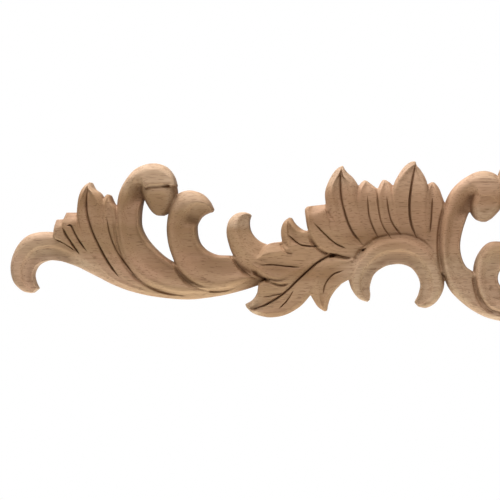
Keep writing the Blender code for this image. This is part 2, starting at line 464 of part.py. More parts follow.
def ladder(name, rungs, section, behind):
    """Closed solid under a ladder's surface, from its front to a little behind the back."""
    rows = []
    for step in range((len(rungs) - 1) * STEPS_ALONG + 1):
        place = step / STEPS_ALONG
        values = along(rungs, place)
        left, right = Vector(values[0:2]), Vector(values[2:4])
        width = max((right - left).length, MIN_WIDTH)
        row = []
        for across, depth in section(place, width, values):
            x, z = left.lerp(right, across)
            row.append((x, depth - min(values[4], DRAWN_BOARD), z))
        rows.append(row)
    mesh = bmesh.new()
    bmesh.ops.create_grid(mesh, x_segments=len(rows[0]) - 1, y_segments=len(rows) - 1, size=1)
    mesh.verts.ensure_lookup_table()
    mesh.verts.index_update()
    for vert, place in zip(mesh.verts, (place for row in rows for place in row)):
        vert.co = place
    bmesh.ops.remove_doubles(mesh, verts=mesh.verts, dist=MIN_WIDTH)
    bmesh.ops.triangulate(mesh, faces=mesh.faces)
    front = list(mesh.faces)
    back = bmesh.ops.extrude_face_region(mesh, geom=front, use_keep_orig=True)["geom"]
    for vert in (item for item in back if isinstance(item, bmesh.types.BMVert)):
        vert.co.y = behind
    bmesh.ops.recalc_face_normals(mesh, faces=mesh.faces)
    bmesh.ops.triangulate(mesh, faces=[face for face in mesh.faces if len(face.verts) > 3])
    return finished(mesh, name)


def finished(mesh, name):
    """Object made from a bmesh in the tables' millimetres."""
    bmesh.ops.scale(mesh, vec=(SIZE, DEPTH, SIZE), verts=mesh.verts)
    data = bpy.data.meshes.new(name)
    mesh.to_mesh(data)
    mesh.free()
    return bpy.data.objects.new(name, data)


def vein_cutter(name, path, width, depth, wood):
    """Blade that a V tool would leave, deepest half way, following the wood's surface."""
    mesh = bmesh.new()
    rows = []
    count = (len(path) - 1) * CUT_STEPS
    for step in range(count + 1):
        place = step / CUT_STEPS
        x, z = along(path, place)
        ahead = Vector(along(path, min(place + CUT_NEAR, len(path) - 1)))
        behind = Vector(along(path, max(place - CUT_NEAR, 0.0)))
        side = (ahead - behind).normalized().orthogonal()
        surface = wood.ray_cast(Vector((x * SIZE, -2 * BOARD * MM, z * SIZE)), BACKWARDS)[0].y / DEPTH
        bite = depth * min(1.0, CUT_RUN_OUT * min(step, count - step) / count)
        spread = 0.5 * width / depth * (bite + CUT_CLEARANCE)
        rows.append([
            mesh.verts.new((x - side.x * spread, surface - CUT_CLEARANCE, z - side.y * spread)),
            mesh.verts.new((x, surface + bite, z)),
            mesh.verts.new((x + side.x * spread, surface - CUT_CLEARANCE, z + side.y * spread)),
        ])
    for row, after in zip(rows, rows[1:]):
        for i in range(3):
            j = (i + 1) % 3
            mesh.faces.new((row[i], row[j], after[j], after[i]))
    mesh.faces.new(rows[0])
    mesh.faces.new(rows[-1])
    bmesh.ops.triangulate(mesh, faces=mesh.faces)
    bmesh.ops.recalc_face_normals(mesh, faces=mesh.faces)
    return finished(mesh, name)


def applied(base):
    """Give the base the mesh that its modifiers make of it."""
    depsgraph = bpy.context.evaluated_depsgraph_get()
    data = bpy.data.meshes.new_from_object(base.evaluated_get(depsgraph), depsgraph=depsgraph)
    base.modifiers.clear()
    base.data = data


def joined(base, collection, operation):
    """Apply a Boolean of the base with every object of a collection."""
    cut = base.modifiers.new(operation.lower(), "BOOLEAN")
    cut.operation = operation
    cut.operand_type = "COLLECTION"
    cut.collection = collection
    cut.solver = "EXACT"
    applied(base)


def smoothed_to_facets(base):
    """Blend the members into one skin, then keep only as many facets as the shape needs."""
    skin = base.modifiers.new("one skin", "REMESH")
    skin.mode = "VOXEL"
    skin.voxel_size = SKIN * MM
    applied(base)
    data = base.data
    data.calc_loop_triangles()
    fewer = base.modifiers.new("fewer facets", "DECIMATE")
    fewer.ratio = FACETS / len(data.loop_triangles)
    applied(base)


def moved_onto(mesh, axis):
    """Corners next to the plane through the origin square to an axis, moved onto it."""
    near = {vert for vert in mesh.verts if abs(vert.co[axis]) < SNAP * MM}
    for vert in near:
        vert.co[axis] = 0
    return near


def cut_flat(mesh, axis):
    """Cut away what lies beyond the plane through the origin square to an axis (1 is Y)."""
    moved_onto(mesh, axis)
    bmesh.ops.bisect_plane(
        mesh, geom=mesh.verts[:] + mesh.edges[:] + mesh.faces[:], dist=0.001 * MM,
        plane_co=(0, 0, 0), plane_no=[int(i == axis) for i in range(3)], clear_outer=True,
    )
    near = moved_onto(mesh, axis)
    return [edge for edge in mesh.edges if edge.is_boundary and near.issuperset(edge.verts)]


def planed(base):
    """Plane the back flat and close it, and leave the half open at the axis of symmetry."""
    mesh = bmesh.new()
    mesh.from_mesh(base.data)
    rim = cut_flat(mesh, 1)
    bmesh.ops.triangle_fill(mesh, use_beauty=True, use_dissolve=False, edges=rim)
    cut_flat(mesh, 0)
    bmesh.ops.remove_doubles(mesh, verts=mesh.verts, dist=SNAP * MM)
    bmesh.ops.triangulate(mesh, faces=mesh.faces)
    bmesh.ops.recalc_face_normals(mesh, faces=mesh.faces)
    mesh.to_mesh(base.data)
    mesh.free()


def new_collection(name):
    collection = bpy.data.collections.new(name)
    bpy.context.scene.collection.children.link(collection)
    return collection


def guide(collection, thing):
    """Put a shape that only helps to make the wood in its collection, out of the render."""
    collection.objects.link(thing)
    thing.hide_render = True
    thing.display_type = "WIRE"


def wood_material():
    material = bpy.data.materials.new("raw_wood")
    material.use_nodes = True
    shader = material.node_tree.nodes["Principled BSDF"]
    shader.inputs["Base Color"].default_value = WOOD
    shader.inputs["Roughness"].default_value = 0.7
    shader.inputs["Metallic"].default_value = 0.0
    return material


def build():
    for thing in list(bpy.data.objects):
        bpy.data.objects.remove(thing)
    part = new_collection("scroll and leaf applique")
    members = new_collection("members")
    cutters = new_collection("cutters")

    behind = BEHIND
    for name, (rungs, sections) in SCROLLS.items():
        def section(place, width, values, sections=sections):
            return scroll_section(sections, place, width)
        guide(members, ladder(name, rungs, section, behind))
        behind += BEHIND_STEP
    for name, (rungs, *cut) in LOBES.items():
        def section(place, width, values, cut=cut, last=len(rungs) - 1):
            return lobe_section(*cut, values[5], place / last, width)
        guide(members, ladder(name, rungs, section, behind))
        behind += BEHIND_STEP

    base = members.objects["rail"]
    members.objects.unlink(base)
    part.objects.link(base)
    base.name = NAME
    joined(base, members, "UNION")

    bpy.context.view_layer.update()
    wood = BVHTree.FromObject(base, bpy.context.evaluated_depsgraph_get())
    for name, (path, width, depth) in VEINS.items():
        guide(cutters, vein_cutter(name, path, width, depth, wood))
    joined(base, cutters, "DIFFERENCE")
    smoothed_to_facets(base)
    planed(base)

    for thing in list(members.objects):
        bpy.data.objects.remove(thing)
    base.hide_render = False
    base.display_type = "TEXTURED"
    mirror = base.modifiers.new("right half", "MIRROR")
    mirror.use_axis = (True, False, False)
    mirror.merge_threshold = SEAM * MM
    base.data.materials.clear()
    base.data.materials.append(wood_material())


build()
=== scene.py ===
"""The looks of the carved scroll-and-leaf applique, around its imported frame.

Lengths in the tables are in millimetres as the design is drawn: X along the piece, Z up, with
heights measured from the flat back. The left half is carved and the right half mirrors it.
"""

import json
import math

import bmesh
import bpy
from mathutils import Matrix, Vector, noise
from mathutils.bvhtree import BVHTree

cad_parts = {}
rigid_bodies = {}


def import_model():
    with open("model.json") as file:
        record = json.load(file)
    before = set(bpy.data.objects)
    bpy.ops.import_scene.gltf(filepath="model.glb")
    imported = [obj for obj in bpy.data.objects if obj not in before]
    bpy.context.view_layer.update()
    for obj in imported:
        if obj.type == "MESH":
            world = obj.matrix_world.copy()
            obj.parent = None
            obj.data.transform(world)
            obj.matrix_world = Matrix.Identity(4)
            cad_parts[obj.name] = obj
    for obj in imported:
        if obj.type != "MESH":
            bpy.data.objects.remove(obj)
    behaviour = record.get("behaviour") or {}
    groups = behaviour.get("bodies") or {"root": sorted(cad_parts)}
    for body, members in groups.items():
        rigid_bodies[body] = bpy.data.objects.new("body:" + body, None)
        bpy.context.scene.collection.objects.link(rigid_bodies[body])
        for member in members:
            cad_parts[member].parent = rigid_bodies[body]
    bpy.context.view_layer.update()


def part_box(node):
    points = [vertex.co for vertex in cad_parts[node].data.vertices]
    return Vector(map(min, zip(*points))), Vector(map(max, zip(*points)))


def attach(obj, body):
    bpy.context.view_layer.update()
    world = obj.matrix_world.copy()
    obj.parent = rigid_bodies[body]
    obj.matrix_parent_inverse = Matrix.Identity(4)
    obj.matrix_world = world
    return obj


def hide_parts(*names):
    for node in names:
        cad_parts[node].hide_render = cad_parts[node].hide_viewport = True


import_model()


# Board
# The applique is sawn and carved from one flat board of raw, pale hardwood, with the grain
# running along it. Its length and thickness are those of the part in the frame.
NODE = "carved_applique"
DRAWN_LENGTH = 503.8
DRAWN_BOARD = 12.0
lowest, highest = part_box(NODE)
SIZE = (highest[0] - lowest[0]) / DRAWN_LENGTH
DEPTH = (highest[1] - lowest[1]) / DRAWN_BOARD

members = bpy.data.collections.new("carved members")


# Scrolls
# Bands of the same wood that curl into bulbs and hooks, hollowed with a gouge between a round
# outer roll and a thin inner rim. They are left standing when the board is sawn through.

# Cross-sections of the scrolls: (place across from the outer edge, depth below the crest).
TROUGH = ((0, 4.2), (0.08, 1.4), (0.20, 0.2), (0.50, 2.3), (0.80, 2.6), (0.93, 1.6), (1, 3.4))
POCKET = ((0, 4.2), (0.14, 1.0), (0.32, 0.3), (0.52, 2.6), (0.75, 5.4), (0.92, 6.2), (1, 6.4))
CAP = ((0, 5.0), (0.14, 2.8), (0.32, 1.2), (0.52, 0.8), (0.75, 0.4), (0.92, 0.1), (1, 0.0))
OVER = ((0, 5.0), (0.14, 2.8), (0.32, 1.0), (0.50, 0.1), (0.60, 2.0), (0.80, 3.4), (1, 4.4))
ROLL = ((0, 4.4), (0.10, 1.6), (0.26, 0.2), (0.46, 0.3), (0.56, 1.9), (0.80, 2.8), (1, 2.0))
STRIP = ((0, 3.4), (0.12, 1.6), (0.30, 0.3), (0.44, 0.1), (0.60, 0.8), (0.84, 2.2), (1, 4.2))
RIDGE = ((0, 4.2), (0.10, 2.2), (0.28, 0.8), (0.46, 0.0), (0.64, 1.6), (0.84, 2.6), (1, 3.8))
DOME = ((0, 4.6), (0.08, 2.2), (0.24, 0.5), (0.50, 0.0), (0.76, 0.5), (0.92, 2.2), (1, 4.6))
FULL_WIDTH = 9.0            # a scroll narrower than this is cut in proportion less deep
STEPS_ALONG = 10            # rows of facets between two rungs
STEPS_ACROSS = 5            # facets between two knots of a cross-section
BEHIND = 2.0                # how far a member runs behind the back before the back is planed
BEHIND_STEP = 0.07          # and how much further each next one runs, so no two ends coincide
MIN_WIDTH = 0.02            # an edge shorter than this is a point

# Rungs as (outer x, outer z, inner x, inner z, crest height), and which cross-section rules from
# which rung on.
SCROLLS = {
    "rail": (
        (
            (-241.4, -20.7, -238.7, -18.5, 8.0), (-246.1, -19.6, -240.1, -15.8, 9.2),
            (-250.3, -15.6, -240.9, -12.1, 9.8), (-251.9, -9.5, -239.9, -9.0, 10.2),
            (-251.1, -3.5, -238.2, -6.9, 10.4), (-248.3, 2.2, -235.7, -5.6, 10.6),
            (-243.5, 6.9, -232.8, -4.95, 10.6), (-237.2, 8.6, -229.4, -5.1, 10.5),
            (-229.9, 8.2, -225.4, -5.8, 10.2), (-221.1, 4.2, -218.5, -8.4, 9.8),
            (-210.9, -1.5, -210.3, -12.6, 9.5), (-200.0, -6.0, -200.5, -17.4, 9.2),
            (-188.0, -10.0, -190.5, -20.7, 8.8), (-175.0, -12.8, -179.0, -22.8, 8.4),
            (-161.0, -13.8, -166.0, -23.6, 8.0), (-148.0, -13.4, -152.0, -22.0, 7.8),
            (-138.5, -11.0, -140.0, -19.1, 7.4), (-131.0, -9.5, -131.4, -16.2, 7.0),
            (-125.0, -9.0, -125.0, -14.0, 6.6),
        ),
        ((0, ROLL), (7.5, ROLL), (10, STRIP), (18, STRIP)),
    ),
    "first scroll": (
        (
            (-143.0, -17.2, -146.0, -11.5, 8.6), (-152.5, -19.6, -154.0, -9.5, 9.2),
            (-163.0, -20.9, -163.0, -7.6, 9.8), (-173.5, -20.3, -170.6, -6.8, 10.2),
            (-181.3, -17.9, -176.0, -4.3, 10.4), (-188.3, -14.1, -180.0, -1.2, 10.6),
            (-193.7, -8.9, -183.8, 2.6, 10.8), (-197.5, -2.0, -186.8, 6.7, 11.0),
            (-199.5, 6.0, -188.8, 11.5, 11.0), (-200.2, 14.0, -188.9, 17.0, 11.0),
            (-200.1, 21.0, -188.2, 22.0, 11.0), (-198.9, 27.5, -187.2, 26.4, 11.3),
            (-195.8, 33.5, -187.6, 28.6, 11.6), (-190.6, 39.0, -185.8, 29.5, 11.8),
            (-183.5, 41.2, -182.6, 30.0, 12.0), (-177.4, 40.0, -179.2, 30.4, 12.0),
            (-173.4, 35.7, -176.0, 30.9, 12.0), (-171.6, 30.6, -173.6, 30.4, 11.6),
        ),
        ((0, TROUGH), (9.5, TROUGH), (10.8, POCKET), (12.0, POCKET), (13.2, CAP), (17, CAP)),
    ),
    "first bulb": (
        (
            (-189.0, 32.0, -172.4, 32.0, 10.8), (-188.4, 28.0, -171.6, 28.0, 11.3),
            (-187.4, 24.8, -171.9, 24.6, 11.0), (-185.8, 21.3, -173.0, 21.0, 10.2),
            (-183.8, 18.2, -175.2, 18.0, 9.0), (-181.3, 16.4, -178.2, 16.3, 7.4),
        ),
        ((0, DOME),),
    ),
    "second scroll": (
        (
            (-131.0, -13.0, -133.0, -4.5, 8.6), (-140.0, -16.0, -140.0, -3.2, 9.6),
            (-149.0, -18.7, -146.8, -2.6, 10.2), (-157.5, -18.4, -152.5, -2.3, 10.6),
            (-165.0, -15.0, -157.0, -0.4, 10.9), (-170.4, -9.6, -160.0, 2.4, 11.0),
            (-173.8, -2.8, -161.4, 5.3, 11.0), (-175.8, 4.5, -162.0, 8.4, 11.0),
            (-176.2, 12.0, -162.0, 11.6, 11.2), (-174.8, 19.5, -161.0, 13.9, 11.5),
            (-171.7, 26.0, -159.9, 15.5, 11.6), (-166.0, 28.3, -158.5, 16.6, 11.6),
            (-160.2, 27.0, -157.1, 17.3, 11.2), (-156.3, 23.5, -155.8, 17.8, 10.0),
            (-154.0, 19.2, -154.8, 18.0, 7.6),
        ),
        ((0, TROUGH), (7.6, TROUGH), (8.8, POCKET), (10.4, OVER), (14, OVER)),
    ),
    "hooked leaf": (
        (
            (-125.0, -15.0, -119.0, -6.0, 9.6), (-131.5, -13.8, -123.0, -2.2, 10.2),
            (-137.0, -11.0, -126.0, 1.2, 10.6), (-141.3, -7.6, -129.2, 2.8, 10.9),
            (-144.4, -3.1, -132.0, 4.0, 11.0), (-146.4, 1.8, -134.6, 6.2, 11.0),
            (-147.7, 7.2, -136.4, 9.0, 11.0), (-147.4, 11.8, -137.0, 11.7, 11.0),
            (-146.0, 15.0, -137.0, 13.7, 10.4), (-143.2, 17.3, -136.7, 15.0, 9.6),
            (-139.6, 18.0, -136.45, 15.8, 8.6), (-136.9, 17.2, -136.2, 16.3, 7.4),
        ),
        ((0, RIDGE),),
    ),
    "crescent": (
        (
            (-81.4, -24.4, -80.2, -23.5, 8.4), (-85.3, -22.9, -79.9, -21.0, 9.4),
            (-88.6, -18.8, -80.2, -18.0, 10.2), (-90.0, -13.8, -79.6, -15.0, 10.8),
            (-88.9, -8.9, -78.5, -12.1, 11.0), (-86.2, -3.9, -76.5, -9.9, 11.2),
            (-81.8, 1.3, -74.1, -8.3, 11.4), (-76.0, 4.9, -71.7, -7.25, 11.5),
            (-69.5, 6.4, -69.0, -6.75, 11.5), (-63.0, 6.3, -66.2, -6.65, 11.5),
            (-57.5, 4.3, -63.2, -7.25, 11.5), (-52.6, 0.7, -60.7, -8.5, 11.4),
            (-49.1, -4.1, -58.7, -10.7, 11.2), (-46.8, -9.4, -57.2, -13.4, 11.0),
            (-45.4, -15.0, -56.5, -16.5, 10.8), (-46.4, -20.0, -57.0, -19.4, 10.4),
            (-49.3, -24.5, -57.8, -21.8, 9.8), (-53.5, -27.1, -58.8, -23.6, 9.0),
            (-57.5, -26.7, -59.3, -24.7, 8.0),
        ),
        ((0, ROLL),),
    ),
    "large scroll": (
        (
            (3.0, -35.2, 3.0, -24.4, 9.0), (-8.0, -34.7, -7.0, -24.0, 9.0),
            (-17.0, -33.6, -14.5, -22.8, 9.2), (-24.8, -31.9, -20.0, -20.2, 9.4),
            (-31.6, -28.7, -24.5, -17.0, 9.8), (-37.7, -24.1, -28.6, -13.4, 10.2),
            (-42.6, -18.9, -32.3, -10.0, 10.6), (-45.4, -12.8, -35.4, -7.6, 10.9),
            (-47.0, -5.8, -37.4, -3.2, 11.0), (-47.5, 1.6, -38.1, 2.4, 11.1),
            (-47.2, 9.2, -37.0, 8.9, 11.2), (-46.1, 16.5, -35.2, 14.5, 11.3),
            (-44.5, 23.2, -33.2, 18.8, 11.4), (-41.4, 28.8, -31.6, 21.8, 11.6),
            (-36.6, 33.3, -30.1, 23.8, 11.8), (-30.5, 36.4, -28.3, 25.0, 12.0),
            (-24.8, 36.7, -25.8, 25.4, 12.0), (-20.3, 34.2, -23.4, 24.8, 12.0),
            (-17.5, 29.6, -21.9, 23.4, 11.8), (-17.2, 25.0, -21.2, 21.6, 11.4),
        ),
        ((0, TROUGH), (10.6, TROUGH), (11.9, POCKET), (13.4, POCKET), (14.8, CAP), (19, CAP)),
    ),
    "large bulb": (
        (
            (-32.4, 27.0, -17.8, 27.0, 11.0), (-33.0, 24.0, -17.3, 24.0, 11.4),
            (-33.5, 20.9, -18.5, 20.6, 11.0), (-32.9, 17.3, -20.9, 17.2, 10.2),
            (-30.7, 14.4, -23.4, 14.6, 9.0), (-27.8, 13.2, -25.8, 13.2, 7.4),
        ),
        ((0, DOME),),
    ),
    "inner scroll": (
        (
            (2.0, -29.6, 2.0, -19.0, 9.0), (-9.0, -30.0, -11.6, -18.6, 9.4),
            (-18.0, -30.0, -16.0, -18.4, 10.0),
            (-25.4, -27.2, -18.7, -17.3, 10.4), (-29.5, -21.4, -20.3, -15.4, 10.8),
            (-31.3, -14.6, -20.7, -13.0, 11.0), (-31.6, -7.8, -20.2, -10.6, 11.2),
            (-29.4, -1.6, -19.0, -8.9, 11.4), (-24.9, 3.3, -17.4, -8.2, 11.6),
            (-18.6, 3.9, -15.6, -8.4, 11.6), (-11.6, 1.6, -13.8, -9.3, 11.2),
            (-6.0, -3.6, -12.6, -10.8, 10.6), (-3.6, -11.0, -12.0, -12.9, 10.0),
            (-3.2, -18.0, -12.2, -15.4, 9.6), (-4.0, -24.5, -13.4, -18.6, 9.4),
        ),
        ((0, TROUGH),),
    ),
    "stem": (
        (
            (-1.6, -31.0, 1.6, -31.0, 9.4), (-3.4, -24.0, 3.4, -24.0, 10.4),
            (-5.4, -16.0, 5.4, -16.0, 11.2), (-7.2, -8.0, 7.2, -8.0, 11.6),
            (-8.6, 0.0, 8.6, 0.0, 12.0), (-8.0, 6.6, 8.0, 6.6, 12.0),
            (-5.0, 11.4, 5.0, 11.4, 11.6), (-1.0, 14.6, 1.0, 14.6, 10.2),
        ),
        ((0, DOME),),
    ),
}


def smooth(part):
    """Ease from 0 to 1 and stay there outside."""
    part = min(max(part, 0.0), 1.0)
    return part * part * (3 - 2 * part)


def along(points, place):
    """Values at a place, counted in rungs, on a smooth curve through the given points."""
    first = min(int(place), len(points) - 2)
    part = place - first
    b, c = points[first], points[first + 1]
    a = points[first - 1] if first else tuple(2 * p - q for p, q in zip(b, c))
    d = points[first + 2] if first + 2 < len(points) else tuple(2 * q - p for p, q in zip(b, c))
    return tuple(
        q + 0.5 * part * (r - p + part * (2 * p - 5 * q + 4 * r - s + part * (3 * (q - r) + s - p)))
        for p, q, r, s in zip(a, b, c, d)
    )


def curve_through(knots, steps):
    """Places and depths on a curve that passes the knots and swings past none of them."""
    rises = [(q[1] - p[1]) / (q[0] - p[0]) for p, q in zip(knots, knots[1:])]
    slopes = [rises[0]]
    for before, after in zip(rises, rises[1:]):
        slopes.append(2 * before * after / (before + after) if before * after > 0 else 0.0)
    slopes.append(rises[-1])
    points = [knots[0]]
    for i, (p, q) in enumerate(zip(knots, knots[1:])):
        span = q[0] - p[0]
        for step in range(1, steps + 1):
            u = step / steps
            depth = (
                p[1] * (1 + 2 * u) * (1 - u) ** 2 + q[1] * u * u * (3 - 2 * u)
                + span * (slopes[i] * u * (1 - u) ** 2 - slopes[i + 1] * u * u * (1 - u))
            )
            points.append((p[0] + span * u, depth))
    return points


def scroll_section(sections, place, width):
    """Cross-section of a scroll at a rung, between the two that are named on either side."""
    before = [entry for entry in sections if entry[0] <= place][-1]
    after = next((entry for entry in sections if entry[0] > place), before)
    part = smooth((place - before[0]) / (after[0] - before[0])) if after is not before else 0.0
    strength = min(1.0, width / FULL_WIDTH)
    knots = [
        (p[0] + (q[0] - p[0]) * part, strength * (p[1] + (q[1] - p[1]) * part))
        for p, q in zip(before[1], after[1])
    ]
    return curve_through(knots, STEPS_ACROSS)


def ladder(name, rungs, section, behind):
    """Closed solid under a ladder's surface, from its front to a little behind the back."""
    rows = []
    for step in range((len(rungs) - 1) * STEPS_ALONG + 1):
        place = step / STEPS_ALONG
        values = along(rungs, place)
        left, right = Vector(values[0:2]), Vector(values[2:4])
        width = max((right - left).length, MIN_WIDTH)
        row = []
        for across, depth in section(place, width, values):
            x, z = left.lerp(right, across)
            row.append((x, depth - min(values[4], DRAWN_BOARD), z))
        rows.append(row)
    mesh = bmesh.new()
    bmesh.ops.create_grid(mesh, x_segments=len(rows[0]) - 1, y_segments=len(rows) - 1, size=1)
    mesh.verts.ensure_lookup_table()
    mesh.verts.index_update()
    for vert, place in zip(mesh.verts, (place for row in rows for place in row)):
        vert.co = place
    bmesh.ops.remove_doubles(mesh, verts=mesh.verts, dist=MIN_WIDTH)
    bmesh.ops.triangulate(mesh, faces=mesh.faces)
    front = list(mesh.faces)
    back = bmesh.ops.extrude_face_region(mesh, geom=front, use_keep_orig=True)["geom"]
    for vert in (item for item in back if isinstance(item, bmesh.types.BMVert)):
        vert.co.y = behind
    bmesh.ops.recalc_face_normals(mesh, faces=mesh.faces)
    bmesh.ops.triangulate(mesh, faces=[face for face in mesh.faces if len(face.verts) > 3])
    return finished(mesh, name)


def finished(mesh, name):
    """Object made from a bmesh in the tables' millimetres."""
    bmesh.ops.scale(mesh, vec=(SIZE, DEPTH, SIZE), verts=mesh.verts)
    data = bpy.data.meshes.new(name)
    mesh.to_mesh(data)
    mesh.free()
    return bpy.data.objects.new(name, data)


behind = BEHIND
for name, (rungs, sections) in SCROLLS.items():
    def section(place, width, values, sections=sections):
        return scroll_section(sections, place, width)
    members.objects.link(ladder(name, rungs, section, behind))
    behind += BEHIND_STEP


# Leaves
# Lobes of fan, acanthus and palm leaves between the scrolls, in the same wood. Each has a bevel
# along both edges and a gouged hollow that falls to its valley and rises to the other crest.
BEVEL_DEPTH = 2.6           # how far the bevel falls from crest to edge
ROOT_DEPTH = 0.3            # part of bevel and hollow that is left at a lobe's root
BEVEL_SHARE = 0.8           # the bevel takes no more than this of the way to the valley
EARLY = (0.25, 0.55)        # the parts of its length between which a lobe's bevels widen
LATE = (0.30, 1.0)

